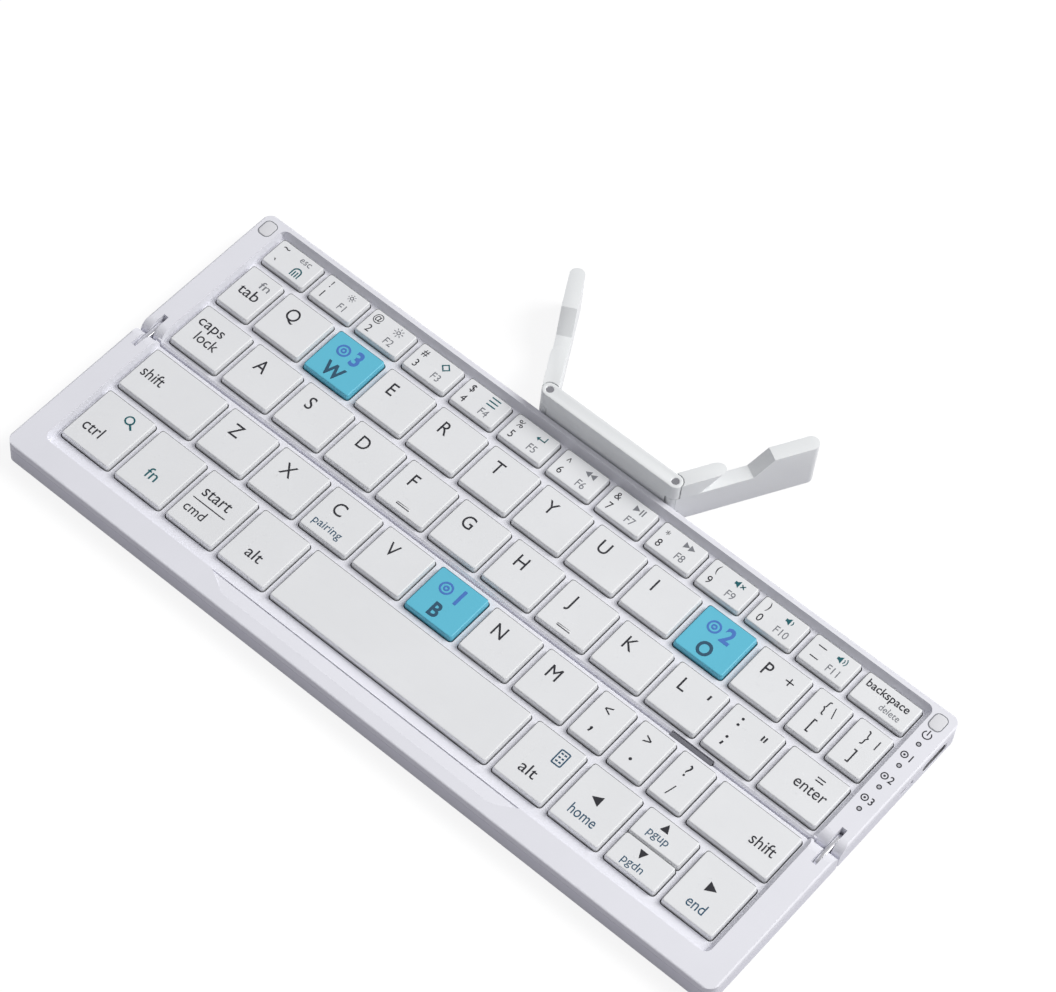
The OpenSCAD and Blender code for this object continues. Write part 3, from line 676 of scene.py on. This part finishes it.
def node_triangles(name):
    """Corners of the triangles of a node, as an array [triangle, corner, axis]."""
    mesh = frame["nodes"][name].data
    points = np.zeros(len(mesh.vertices) * 3)
    mesh.vertices.foreach_get("co", points)
    mesh.calc_loop_triangles()
    corners_of = np.zeros(len(mesh.loop_triangles) * 3, int)
    mesh.loop_triangles.foreach_get("vertices", corners_of)
    return points.reshape(-1, 3)[corners_of.reshape(-1, 3)]


def split_at_gaps(triangles, axis):
    """Groups of triangles with a gap between them along the axis, in rising order."""
    start = triangles[:, :, axis].min(1)
    end = triangles[:, :, axis].max(1)
    order = np.argsort(start)
    reach = np.maximum.accumulate(end[order])
    breaks = np.flatnonzero(start[order][1:] > reach[:-1] + LEAST_GAP) + 1
    return [triangles[part] for part in np.split(order, breaks)]


def cap_boxes(name):
    """Lowest and highest corner of each cap of a node, row by row from the front, left to right."""
    groups = [node_triangles(name)]
    for axis in (1, 0, 1):
        groups = [part for group in groups for part in split_at_gaps(group, axis)]
    return [(group.reshape(-1, 3).min(0), group.reshape(-1, 3).max(0)) for group in groups]


KEY_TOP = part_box("key_q")[1].z
bodies = frame["record"]["behaviour"]["bodies"]
body_of_node = {node: body for body, nodes in bodies.items() for node in nodes}
print("key tops are", round(KEY_TOP / MM, 2), "mm high")

# %% [markdown]
# ## Printing on a cap
#
# A printer's plate for a key is drawn in the key's own measures. So a small class takes places in
# millimetres from the left and the rear edge of one cap, and puts the ink where they lie on the
# keyboard. The icons are made of a few plain shapes: rings, arcs, bars and plates.


# %% Ink on one cap
class Print:
    """Ink on a flat top. x counts in millimetres from the left edge, and down from the rear edge."""

    def __init__(self, piece, left, rear, top):
        self.piece = piece
        self.left = left
        self.rear = rear
        self.top = top

    def at(self, x, down):
        return self.left + x * MM, self.rear - down * MM

    def text(self, text, x, down, capital, ink, stroke=LIGHT_STROKE, width=None):
        across = width * MM if width else None
        glyphs = word(text, *self.at(x, down), self.top, capital * MM, stroke, across, centred=True)
        self.piece.add(glyphs, ink)

    def letter(self, text, x, down, capital, ink):
        """A single letter: x is its left edge and down its baseline."""
        left, baseline = self.at(x, down)
        points, faces = word(text, 0, baseline, self.top, capital * MM)
        self.piece.add((points + (left - points[:, 0].min(), 0, 0), faces), ink)

    def dot(self, x, down, radius, ink):
        self.piece.add(ink_plate(circle_line(*self.at(x, down), radius * MM, 12), self.top), ink)

    def ring(self, x, down, radius, stroke, ink):
        self.piece.add(ink_ring(*self.at(x, down), self.top, radius * MM, stroke * MM), ink)

    def arc(self, x, down, radius, stroke, start, end, ink):
        self.piece.add(ink_arc(*self.at(x, down), self.top, radius * MM, stroke * MM, start, end), ink)

    def frame(self, x, down, half_x, half_y, radius, stroke, ink):
        sizes = np.array([(half_x, half_y, radius), (half_x - stroke, half_y - stroke, radius - stroke / 2)])
        outer, inner = (rounded_line(*self.at(x, down), *size) for size in sizes * MM)
        self.piece.add(ink_loop(outer, inner, self.top), ink)

    def bar(self, x1, down1, x2, down2, stroke, ink):
        self.piece.add(ink_bar(*self.at(x1, down1), *self.at(x2, down2), self.top, stroke * MM), ink)

    def plate(self, points, ink):
        self.piece.add(ink_plate([self.at(*point) for point in points], self.top), ink)

    def arrow(self, x, down, length, width, turns, ink):
        """A filled triangle; turns counts quarter turns from pointing right, leftwards round."""
        corners = [(length / 2, 0), (-length / 2, width / 2), (-length / 2, -width / 2)]
        for _ in range(turns):
            corners = [(-b, a) for a, b in corners]
        self.plate([(x + a, down - b) for a, b in corners], ink)


def sun_icon(ink_on, x, down, reach):
    """Ring with eight rays."""
    ink_on.ring(x, down, 0.55, 0.25, grey_ink)
    for angle in np.arange(8) * math.pi / 4:
        cos, sin = math.cos(angle), math.sin(angle)
        ink_on.bar(x + 0.8 * cos, down + 0.8 * sin, x + reach * cos, down + reach * sin, 0.22, grey_ink)


def speaker_icon(ink_on, x, down, ink):
    """Box with a horn."""
    ink_on.plate([(x - 1.4, down - 0.4), (x - 0.9, down - 0.4), (x - 0.15, down - 1), (x - 0.15, down + 1),
        (x - 0.9, down + 0.4), (x - 1.4, down + 0.4)], ink)


# %% [markdown]
# ## Legends of the letter keys
#
# A letter stands in the upper left of its cap. Three teal caps carry a bold letter below the
# middle, and above it a ring and a number that say which channel the key calls. Two caps have a
# small raised bar, which the forefingers feel for.


# %% Letter keys
LETTER_PLACE = (3.55, 6.6)
LETTER_CAPITAL = 3.55
CHANNEL_KEYS = {"w": "3", "o": "2", "b": "1"}
HOME_KEYS = ("f", "j")
HOME_BAR_HALF = (1.9 * MM, 0.25 * MM)
HOME_BAR_PROUD = 0.15 * MM
HOME_BAR_UP = 1.95 * MM
HOME_BAR_CORNER = 0.24 * MM
HOME_BAR_EDGE = 0.1 * MM
# Painted shadow in front of the home bar: its gap to the bar and its width.
HOME_SHADOW_GAP = 0.06 * MM
HOME_SHADOW_WIDTH = 0.26 * MM
all_caps = 0


def letter_marks(ink_on, letter):
    if letter in CHANNEL_KEYS:
        ink_on.text(letter.upper(), 6.6, 10.3, 3.75, slate_ink, BOLD_STROKE)
        ink_on.ring(4.7, 4.3, 1.75, 0.5, blue_ink)
        ink_on.ring(4.7, 4.3, 0.75, 0.42, blue_ink)
        ink_on.text(CHANNEL_KEYS[letter], 8.7, 4.2, 4.2, blue_ink, BOLD_STROKE)
        return
    ink_on.letter(letter.upper(), *LETTER_PLACE, LETTER_CAPITAL, dark_ink)
    if letter == "p":
        ink_on.bar(9.2, 4.2, 11.4, 4.2, 0.3, dark_ink)
        ink_on.bar(10.3, 3.1, 10.3, 5.3, 0.3, dark_ink)
    elif letter == "l":
        ink_on.bar(10.9, 3.0, 10.8, 4.4, 0.5, dark_ink)
    elif letter == "c":
        ink_on.text("pairing", 6.2, 10.7, 2.1, slate_ink, width=8.0)


def add_home_bar(cap, low, high):
    """A raised bar with a small bevel, near the front of a cap, and a painted shadow of dark ink along its
    front foot.
    """
    x, y = (low[0] + high[0]) / 2, low[1] + HOME_BAR_UP
    half_x, half_y = HOME_BAR_HALF
    levels = [KEY_TOP - 2 * CAP_DISH, KEY_TOP + HOME_BAR_PROUD * 0.6, KEY_TOP + HOME_BAR_PROUD]
    insets = np.array([0, 0, HOME_BAR_EDGE])
    cap.add(loft((x, y), half_x - insets, half_y - insets, HOME_BAR_CORNER - insets, levels, 4), key_plastic)
    # Painted shadow: a stroke of dark ink along the front foot of the bar.
    shadow_y = y - half_y - HOME_SHADOW_GAP
    cap.add(ink_bar(x - half_x, shadow_y, x + half_x, shadow_y, KEY_TOP, HOME_SHADOW_WIDTH), dark_ink)


for letter in "qwertyuiopasdfghjklzxcvbnm":
    node = "key_" + letter
    low, high = (np.array(corner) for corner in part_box(node))
    cap = Piece("cap_" + letter)
    is_teal = letter in CHANNEL_KEYS
    cap.add(keycap(low, high, KEY_TOP), teal_plastic if is_teal else key_plastic)
    if letter in HOME_KEYS:
        add_home_bar(cap, low, high)
    letter_marks(Print(cap, low[0], high[1], KEY_TOP), letter)
    cap.build(body_of_node[node], [node])
    all_caps += 1
print("letter caps:", all_caps)

# %% [markdown]
# ## Legends of the other keys
#
# The number row has a sign over its digit on the left, and on the right a grey function number
# under a small icon. The other keys carry words. The rings and numbers of the channels are plain
# ones, and the icons are the usual signs for brightness, playing and loudness.


# %% Number row
SIGNS = "!@#$%^&*()"
DIGITS = "1234567890"
ICON_X = 8.8
ICON_DOWN = 2.4
SMALL_CAPITAL = 2.05


def function_icon(ink_on, number):
    x, down = ICON_X, ICON_DOWN
    if number == 1:
        sun_icon(ink_on, x, down, 1.05)
    elif number == 2:
        sun_icon(ink_on, x, down, 1.35)
    elif number == 3:
        diamonds = [[(x, down - r), (x - r, down), (x, down + r), (x + r, down)] for r in (1.3, 0.85)]
        outer, inner = (np.array([ink_on.at(*point) for point in line]) for line in diamonds)
        ink_on.piece.add(ink_loop(outer, inner, ink_on.top), teal_ink)
    elif number == 4:
        for row in (-1.1, 0, 1.1):
            ink_on.bar(x - 1.3, down + row, x + 1.3, down + row, 0.34, teal_ink)
    elif number == 5:
        ink_on.bar(x + 1.1, down - 1.0, x + 1.1, down + 0.55, 0.3, teal_ink)
        ink_on.bar(x + 1.25, down + 0.4, x - 0.5, down + 0.4, 0.3, teal_ink)
        ink_on.arrow(x - 0.85, down + 0.4, 0.8, 1.3, 2, teal_ink)
    elif number == 6:
        for step in (-0.75, 0.75):
            ink_on.arrow(x + step, down, 1.45, 1.8, 2, grey_ink)
    elif number == 7:
        ink_on.arrow(x - 0.75, down, 1.5, 1.8, 0, grey_ink)
        for step in (0.5, 1.2):
            ink_on.bar(x + step, down - 0.9, x + step, down + 0.9, 0.34, grey_ink)
    elif number == 8:
        for step in (-0.75, 0.75):
            ink_on.arrow(x + step, down, 1.45, 1.8, 0, grey_ink)
    elif number == 9:
        speaker_icon(ink_on, x, down, teal_ink)
        for lean in (-0.5, 0.5):
            ink_on.bar(x + 0.35, down - lean, x + 1.35, down + lean, 0.26, teal_ink)
    else:
        speaker_icon(ink_on, x, down, teal_ink)
        ink_on.arc(x - 0.3, down, 0.95, 0.24, -42, 42, teal_ink)
        if number == 11:
            ink_on.arc(x - 0.3, down, 1.6, 0.24, -42, 42, teal_ink)


def number_marks(ink_on, place):
    """place counts the caps of the row from the left, from 0."""
    if place == 0:
        ink_on.text("~", 2.65, 1.95, 2.6, dark_ink)
        ink_on.text("`", 2.5, 6.2, 3.0, dark_ink)
        ink_on.text("esc", ICON_X, 2.2, 1.9, grey_ink, width=3.1)
        ink_on.arc(9.0, 5.6, 1.25, 0.36, 0, 180, teal_ink)
        for step in (-1.07, -0.36, 0.36, 1.07):
            ink_on.bar(9.0 + step, 5.5, 9.0 + step, 7.2, 0.34, teal_ink)
    elif place <= 10:
        ink_on.text(SIGNS[place - 1], 2.55, 2.5, SMALL_CAPITAL, dark_ink)
        ink_on.text(DIGITS[place - 1], 2.55, 6.0, SMALL_CAPITAL + 0.1, dark_ink)
    elif place == 11:
        ink_on.bar(2.2, 2.6, 4.5, 2.6, 0.26, dark_ink)
        ink_on.bar(2.2, 6.0, 4.5, 6.0, 0.26, dark_ink)
    else:
        ink_on.text("backspace", 7.4, 3.0, 2.1, dark_ink, 0.01, width=11.6)
        ink_on.text("delete", 10.1, 6.0, 1.8, grey_ink, width=5.4)
    if 1 <= place <= 11:
        ink_on.text("F%d" % place, 8.7, 6.0, SMALL_CAPITAL, grey_ink)
        function_icon(ink_on, place)


# %% Words and signs of the side keys
def rear_side_marks(ink_on, place):
    """place counts the caps of the home row from the left and then those of the row behind it."""
    if place == 0:
        ink_on.text("caps", 5.45, 5.3, 2.9, dark_ink, width=7.3)
        ink_on.text("lock", 7.3, 8.45, 2.9, dark_ink, width=6.3)
    elif place == 1:
        for down in (2.8, 4.7):
            ink_on.dot(3.8, down, 0.36, dark_ink)
        ink_on.dot(3.85, 8.7, 0.36, dark_ink)
        ink_on.bar(3.95, 10.2, 3.75, 11.2, 0.5, dark_ink)
        for x in (10.1, 10.9):
            ink_on.bar(x, 3.0, x - 0.05, 4.5, 0.42, dark_ink)
    elif place == 2:
        for down in (3.1, 4.0):
            ink_on.bar(9.1, down, 11.3, down, 0.3, dark_ink)
        ink_on.text("enter", 9.95, 7.0, 3.0, dark_ink, width=8.4)
    elif place == 3:
        ink_on.text("fn", 6.6, 3.3, 2.2, grey_ink, width=2.9)
        ink_on.text("tab", 4.9, 7.0, 3.0, dark_ink, width=5.7)
    elif place == 4:
        ink_on.text("{", 4.3, 3.9, 3.0, dark_ink)
        ink_on.text("\\", 6.6, 3.9, 2.8, dark_ink)
        ink_on.text("[", 4.6, 9.7, 3.0, dark_ink)
    else:
        ink_on.text("}", 4.4, 3.9, 3.0, dark_ink)
        ink_on.bar(7.4, 2.6, 7.4, 5.2, 0.3, dark_ink)
        ink_on.text("]", 4.5, 9.7, 3.0, dark_ink)


def front_side_marks(ink_on, place):
    """place counts the caps of the bottom row from the left and then those of the row behind it."""
    if place == 0:
        ink_on.text("ctrl", 5.0, 10.7, 3.1, dark_ink, width=5.3)
        ink_on.ring(9.6, 3.55, 1.3, 0.4, teal_ink)
        ink_on.bar(10.4, 4.35, 11.6, 5.5, 0.5, teal_ink)
    elif place == 1:
        ink_on.text("fn", 6.95, 10.8, 3.0, teal_ink, width=3.2)
    elif place == 2:
        ink_on.text("start", 6.6, 5.95, 3.2, dark_ink, width=7.9)
        ink_on.bar(1.8, 8.8, 11.4, 8.8, 0.26, dark_ink)
        ink_on.text("cmd", 4.85, 11.5, 2.6, dark_ink, width=5.8)
    elif place == 3:
        ink_on.text("alt", 6.8, 11.0, 3.0, dark_ink, width=4.3)
    elif place == 4:
        ink_on.text("alt", 6.6, 11.45, 3.0, dark_ink, width=4.4)
        ink_on.frame(10.0, 4.55, 1.4, 2.15, 0.45, 0.34, slate_ink)
        for row in (-1.1, 0, 1.1):
            for x in (9.55, 10.45):
                ink_on.bar(x - 0.3, 4.5 + row, x + 0.3, 4.5 + row, 0.42, slate_ink)
    elif place == 5:
        ink_on.text("shift", 5.05, 6.7, 3.0, dark_ink, width=6.3)
    elif place == 6:
        ink_on.text("<", 4.0, 3.9, 2.9, dark_ink)
        ink_on.dot(4.05, 9.9, 0.36, dark_ink)
        ink_on.bar(4.2, 10.0, 3.85, 11.0, 0.42, dark_ink)
    elif place == 7:
        ink_on.text(">", 4.05, 3.9, 2.9, dark_ink)
        ink_on.dot(4.1, 10.2, 0.4, dark_ink)
    elif place == 8:
        ink_on.text("?", 4.2, 4.0, 3.3, dark_ink)
        ink_on.text("/", 4.2, 10.2, 3.0, dark_ink)
    else:
        ink_on.text("shift", 16.6, 7.2, 3.0, dark_ink, width=6.5)


def arrow_marks(ink_on, place):
    """place 0 is the left arrow, 1 down, 2 up and 3 right."""
    if place == 0:
        ink_on.arrow(6.3, 7.1, 2.5, 2.8, 2, dark_ink)
        ink_on.text("home", 6.7, 12.2, 2.8, slate_ink, width=7.0)
    elif place == 1:
        ink_on.arrow(6.35, 2.7, 2.2, 2.2, 3, dark_ink)
        ink_on.text("pgdn", 6.35, 6.0, 2.1, slate_ink, width=5.5)
    elif place == 2:
        ink_on.arrow(6.3, 2.3, 2.2, 2.2, 1, dark_ink)
        ink_on.text("pgup", 6.3, 5.75, 2.1, slate_ink, width=5.5)
    else:
        ink_on.arrow(6.9, 7.2, 2.5, 2.8, 0, dark_ink)
        ink_on.text("end", 6.8, 12.45, 2.8, slate_ink, width=4.7)


# %% [markdown]
# Each bank is one piece of the frame and stays one here. Its caps are found by their gaps, and the
# place of a cap in the bank says which legend it gets. The space bar is bare.

# %% Banks of caps
BANKS = {
    "number_row_keys": ("number_row_caps", number_marks),
    "rear_side_keys": ("rear_side_caps", rear_side_marks),
    "front_side_keys": ("front_side_caps", front_side_marks),
    "arrow_keys": ("arrow_caps", arrow_marks),
    "space_bar": ("space_cap", None),
}
for node, (name, marks) in BANKS.items():
    bank = Piece(name)
    boxes = cap_boxes(node)
    for place, (low, high) in enumerate(boxes):
        bank.add(keycap(low, high, KEY_TOP), key_plastic)
        if marks:
            marks(Print(bank, low[0], high[1], KEY_TOP), place)
    bank.build(body_of_node[node], [node])
    all_caps += len(boxes)
    print(node, len(boxes), "caps")

# %% [markdown]
# ## Signs on the right rim
#
# Four small lights sit in the right rim, each with a sign behind it: one for power and three for the
# channels. The print has to lie on the rim, so its height is read off the case: it is that of the
# triangle under the place. Each light also has a ring of dark ink, painted shade where the gap round
# its lens lies, and each corner pad a grey frame of ink, painted shade in the gap round the pad.


# %% Rim print
def top_at(name, x, y):
    """Height of a node's surface at a place. With the weights u and v, the place is a + u (b - a) +
    v (c - a) in a triangle a, b, c, and it lies inside where u, v and 1 - u - v aren't negative."""
    a, b, c = np.moveaxis(node_triangles(name), 1, 0)
    along, across, reach = b - a, c - a, np.array([x, y]) - a[:, :2]
    area = along[:, 0] * across[:, 1] - along[:, 1] * across[:, 0]
    flat = np.abs(area) < 1e-12
    area = np.where(flat, 1.0, area)
    u = (reach[:, 0] * across[:, 1] - reach[:, 1] * across[:, 0]) / area
    v = (along[:, 0] * reach[:, 1] - along[:, 1] * reach[:, 0]) / area
    inside = ~flat & (u >= 0) & (v >= 0) & (u + v <= 1)
    return float((a[:, 2] + u * along[:, 2] + v * across[:, 2])[inside].max())


# Painted shade round each corner pad: the width of its grey ink frame.
PAD_SHADE_WIDTH = 0.2 * MM
PAD_CORNER = 1.2 * MM
BESIDE_LIGHT = 2 * MM
SIGN_BEHIND = 3.05
RING_LEFT = 0.8
NUMBER_RIGHT = 1.05
lenses = cap_boxes("indicator_lenses")
light_x = float(lenses[0][0][0] + lenses[0][1][0]) / 2
lens_radius = float(lenses[0][1][0] - lenses[0][0][0]) / 2 / MM
rim_height = top_at("rear_top_case", light_x + BESIDE_LIGHT, float(lenses[0][0][1]) - BESIDE_LIGHT)
rim_print_and_shade = Piece("rim_print_and_shade")
ink_on = Print(rim_print_and_shade, 0, 0, rim_height)
light_places = [float(low[1] + high[1]) / 2 / MM for low, high in lenses]
row_x = light_x / MM
# A ring of dark ink round each lens: painted shade where the gap round the lens lies.
for y in light_places:
    ink_on.ring(row_x, -y, lens_radius + 0.05, 0.27, dark_ink)
for number, y in zip("321", light_places[:3]):
    down = -y - SIGN_BEHIND
    ink_on.ring(row_x - RING_LEFT, down, 0.95, 0.3, dark_ink)
    ink_on.dot(row_x - RING_LEFT, down, 0.3, dark_ink)
    ink_on.text(number, row_x + NUMBER_RIGHT, down, 1.9, dark_ink, BOLD_STROKE / 2)
power_down = -(light_places[3] + 3.1)
ink_on.arc(row_x, power_down, 1.2, 0.3, 125, 415, dark_ink)
ink_on.bar(row_x, power_down - 1.5, row_x, power_down + 0.1, 0.3, dark_ink)
# A grey ink frame round each corner pad: painted shade where the gap round the pad lies.
for low, high in cap_boxes("bumper_pads"):
    middle = (low[:2] + high[:2]) / 2
    half = (high[:2] - low[:2]) / 2
    lines = [rounded_line(*middle, *(half + gap), PAD_CORNER + gap, 8) for gap in (PAD_SHADE_WIDTH, 0)]
    rim_print_and_shade.add(ink_loop(*lines, rim_height), grey_ink)
rim_print_and_shade.build("rear_half")
print("rim is", round(rim_height / MM, 2), "mm high, lens radius", round(lens_radius, 2), "mm")

# %% [markdown]
# ## Screws, feet and pads
#
# The underside shows four round feet and four screws on each half. A screw's head is a grid of
# circles: its height is the flat face but for two crossed slots, where it rises into the head. Feet
# and pads are lofts with a rounded edge.


# %% Small parts
SCREW_STEPS = 72
SCREW_RINGS = 22
HEAD_CENTRE = 0.03 * MM
HEAD_EDGE = 0.12 * MM
HEAD_HEIGHT = 0.6 * MM
SHANK_SHARE = 0.57
SLOT_HALF = (0.19 * MM, 0.78 * MM)
SLOT_DEPTH = 0.38 * MM
SLOT_SOFTNESS = 0.07 * MM
FIRST_TURN = 0.35
NEXT_TURN = 0.6
FOOT_EDGE = 0.22 * MM
PAD_EDGE = 0.2 * MM


def screw(low, high, turned):
    """Surface of a screw, head down. Depth of the recess = slot depth * s(long) * s(short), the
    greater of the two arms, where s is 0 at the arm's half size and 1 a softness further in."""
    middle = (low[:2] + high[:2]) / 2
    radius = (high[0] - low[0]) / 2
    turn = np.arange(SCREW_STEPS) / SCREW_STEPS * 2 * math.pi
    radii = np.linspace(HEAD_CENTRE, radius - HEAD_EDGE, SCREW_RINGS)[:, None]
    x, y = radii * np.cos(turn), radii * np.sin(turn)

    def arm(along, across):
        inside_long = np.clip((SLOT_HALF[1] - np.abs(along)) / SLOT_SOFTNESS, 0, 1)
        return inside_long * np.clip((SLOT_HALF[0] - np.abs(across)) / SLOT_SOFTNESS, 0, 1)

    u = x * math.cos(turned) + y * math.sin(turned)
    v = y * math.cos(turned) - x * math.sin(turned)
    face = np.stack([x, y, low[2] + SLOT_DEPTH * np.maximum(arm(u, v), arm(v, u))], -1)
    sides = [(radius, low[2] + HEAD_EDGE), (radius, low[2] + HEAD_HEIGHT)]
    sides += [(radius * SHANK_SHARE, low[2] + HEAD_HEIGHT), (radius * SHANK_SHARE, high[2])]
    rings = [np.column_stack([r * np.cos(turn), r * np.sin(turn), np.full(len(turn), z)]) for r, z in sides]
    points = np.concatenate([face, np.stack(rings)])
    return ring_surface(points + (middle[0], middle[1], 0))


def soft_block(low, high, corner, edge):
    """A block with rounded corners and a quarter round at its lower and upper edge."""
    middle = (low[:2] + high[:2]) / 2
    half = (high[:2] - low[:2]) / 2
    bend = np.linspace(0, math.pi / 2, EDGE_STEPS)
    inset = np.concatenate([edge * (1 - np.sin(bend)), edge * (1 - np.cos(bend))])
    level = np.concatenate([low[2] + edge * (1 - np.cos(bend)), high[2] - edge * (1 - np.sin(bend))])
    return loft(middle, half[0] - inset, half[1] - inset, corner - inset, level)


for half_name in ("rear", "front"):
    screws = Piece(half_name + "_screw_set")
    screw_boxes = cap_boxes(half_name + "_screws")
    for number, (low, high) in enumerate(screw_boxes):
        screws.add(screw(low, high, FIRST_TURN + number * NEXT_TURN), steel)
    screws.build(half_name + "_half", [half_name + "_screws"])
    feet = Piece(half_name + "_foot_set")
    foot_boxes = cap_boxes(half_name + "_feet")
    for low, high in foot_boxes:
        feet.add(soft_block(low, high, (high[0] - low[0]) / 2, FOOT_EDGE), foot_rubber)
    feet.build(half_name + "_half", [half_name + "_feet"])
    print(half_name, "half:", len(screw_boxes), "screws and", len(foot_boxes), "feet")
pads = Piece("corner_pads")
for low, high in cap_boxes("bumper_pads"):
    pads.add(soft_block(low, high, PAD_CORNER, PAD_EDGE), pad_silicone)
pads.build("rear_half", ["bumper_pads"])

# %% [markdown]
# ## Moulded parts with soft edges
#
# The stand, the links and the switch are already right in shape, but no mould gives a knife edge. A
# copy of the built mesh gets its loose triangles joined, its flat faces made whole again and then a
# narrow bevel. The copy stands for the built part, which stays as it is.


# %% Softened copies
MERGE_WITHIN = 0.001 * MM
FLAT_ANGLE = 1
BEVEL_ANGLE = 35
BEVEL_STEPS = 3


def softened(node, name, material, slot, width):
    """Merges the copy's doubles, dissolves edges between faces less than a degree apart, and bevels."""
    mesh = frame["nodes"][node].data.copy()
    work = bmesh.new()
    work.from_mesh(mesh)
    bmesh.ops.remove_doubles(work, verts=work.verts, dist=MERGE_WITHIN)
    bmesh.ops.dissolve_limit(work, angle_limit=math.radians(FLAT_ANGLE), verts=work.verts, edges=work.edges)
    work.to_mesh(mesh)
    work.free()
    mesh.materials.clear()
    mesh.materials.append(material)
    made = bpy.data.objects.new(name, mesh)
    bpy.context.scene.collection.objects.link(made)
    bevel = made.modifiers.new("soft edges", "BEVEL")
    bevel.width = width
    bevel.segments = BEVEL_STEPS
    bevel.limit_method = "ANGLE"
    bevel.angle_limit = math.radians(BEVEL_ANGLE)
    bevel.use_clamp_overlap = True
    bpy.context.view_layer.update()
    bevelled = made.evaluated_get(bpy.context.evaluated_depsgraph_get())
    made.data = bpy.data.meshes.new_from_object(bevelled)
    made.modifiers.clear()
    made.data.polygons.foreach_set("use_smooth", [True] * len(made.data.polygons))
    made.data.set_sharp_from_angle(angle=math.radians(BEVEL_ANGLE))
    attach(made, body_of_node[node])
    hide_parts(node)
    print(name, len(made.data.polygons), "faces")


MOULDINGS = [
    ("stand_bar", "bar_moulding", stand_plastic, "stand_white", 0.22 * MM),
    ("left_stand_wing", "left_wing_moulding", stand_plastic, "stand_white", 0.22 * MM),
    ("right_stand_wing", "right_wing_moulding", stand_plastic, "stand_white", 0.22 * MM),
    ("hinge_links", "link_stampings", link_metal, "link_metal", 0.12 * MM),
    ("power_slider", "switch_moulding", switch_plastic, "switch_grey", 0.08 * MM),
]
for moulding in MOULDINGS:
    softened(*moulding)

# %% [markdown]
# ## The flat cable
#
# A flat cable crosses the seam in an arch and has to bend when the halves fold. It is a thin strip
# carried along one path from half to half, cut in the middle of the arch into a rear and a front
# part. A piece can bend with one joint only, and here are two, so the strip is cut in the middle of
# the arch. Neither part is fixed to a body here.


# %% Cable in two parts
CABLE_SHEET = 0.2 * MM
CABLE_ARCH = 0.55 * MM
CABLE_STEP = 0.1 * MM
CABLE_ROUNDING = 5
BEND_FAR = 4.8 * MM
BEND_NEAR = 1.0 * MM


def cable_path(low, high):
    """Middle line of a strip between the corners low and high, as (distance from the seam, height):
    corners joined by straight steps, then each point becomes the mean of its neighbours, which
    rounds the corners."""
    reach = high.y - SEAM_Y
    foot, crest = low.z + CABLE_SHEET / 2, high.z - CABLE_SHEET / 2
    corners = np.array([(reach, foot), (CABLE_ARCH, foot), (CABLE_ARCH, crest), (-CABLE_ARCH, crest),
        (-CABLE_ARCH, foot), (-reach, foot)])
    lengths = np.linalg.norm(np.diff(corners, axis=0), axis=1)
    marks = np.concatenate([[0], np.cumsum(lengths)])
    along = np.linspace(0, marks[-1], 2 * round(marks[-1] / CABLE_STEP / 2) + 1)
    line = np.column_stack([np.interp(along, marks, corners[:, k]) for k in (0, 1)])
    half = CABLE_ROUNDING // 2
    mean = sum(line[k : len(line) - 2 * half + k] for k in range(CABLE_ROUNDING)) / CABLE_ROUNDING
    return np.concatenate([line[:half], mean, line[-half:]])


def cable_strip(line, left, right):
    """Rings of four points. With the direction (a, b) of the line, its normal is (b, -a)."""
    direction = np.gradient(line, axis=0)
    direction /= np.linalg.norm(direction, axis=1)[:, None]
    normal = np.column_stack([direction[:, 1], -direction[:, 0]]) * CABLE_SHEET / 2
    faces = [(left, -1), (right, -1), (right, 1), (left, 1)]
    rings = [np.column_stack([np.full(len(line), x), SEAM_Y + (line + side * normal)[:, 0],
        (line + side * normal)[:, 1]]) for x, side in faces]
    return ring_surface(np.stack(rings, 1))


cable_low, cable_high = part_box("flex_ribbon")
cable_line = cable_path(cable_low, cable_high)
cable_middle = len(cable_line) // 2
stretches = {
    "cable_rear": (cable_line[: cable_middle + 1], "rear_half", "link_pair", BEND_FAR, BEND_NEAR),
    "cable_front": (cable_line[cable_middle:], "link_pair", "front_half", -BEND_NEAR, -BEND_FAR),
}
for name, (line, first, second, start, end) in stretches.items():
    cable = Piece(name)
    cable.add(cable_strip(line, cable_low.x, cable_high.x), ribbon_film)
    strip = cable.build(None, ["flex_ribbon"])
    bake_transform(strip)
print("cable points:", len(cable_line))

# %% [markdown]
# ## Parts that keep their built shape
#
# The cases and the parts inside are already right. They only take their finish.


# %% Finish of the built parts
finishes = {
    deck_plastic: ["rear_top_case", "front_top_case"],
    case_plastic: ["rear_bottom_case", "front_bottom_case"],
    lens_plastic: ["indicator_lenses"],
    dome_silicone: ["rear_dome_sheet", "front_dome_sheet"],
    board_resist: ["main_circuit_board"],
    steel: ["rear_base_plate", "front_base_plate", "rear_hinge_pins", "front_hinge_pins", "wing_pins"],
    socket_metal: ["usb_socket"],
    foil: ["battery"],
}
for material, nodes in finishes.items():
    for node in nodes:
        mesh = frame["nodes"][node].data
        mesh.materials.clear()
        mesh.materials.append(material)
print("built parts with a finish:", sum(len(nodes) for nodes in finishes.values()))
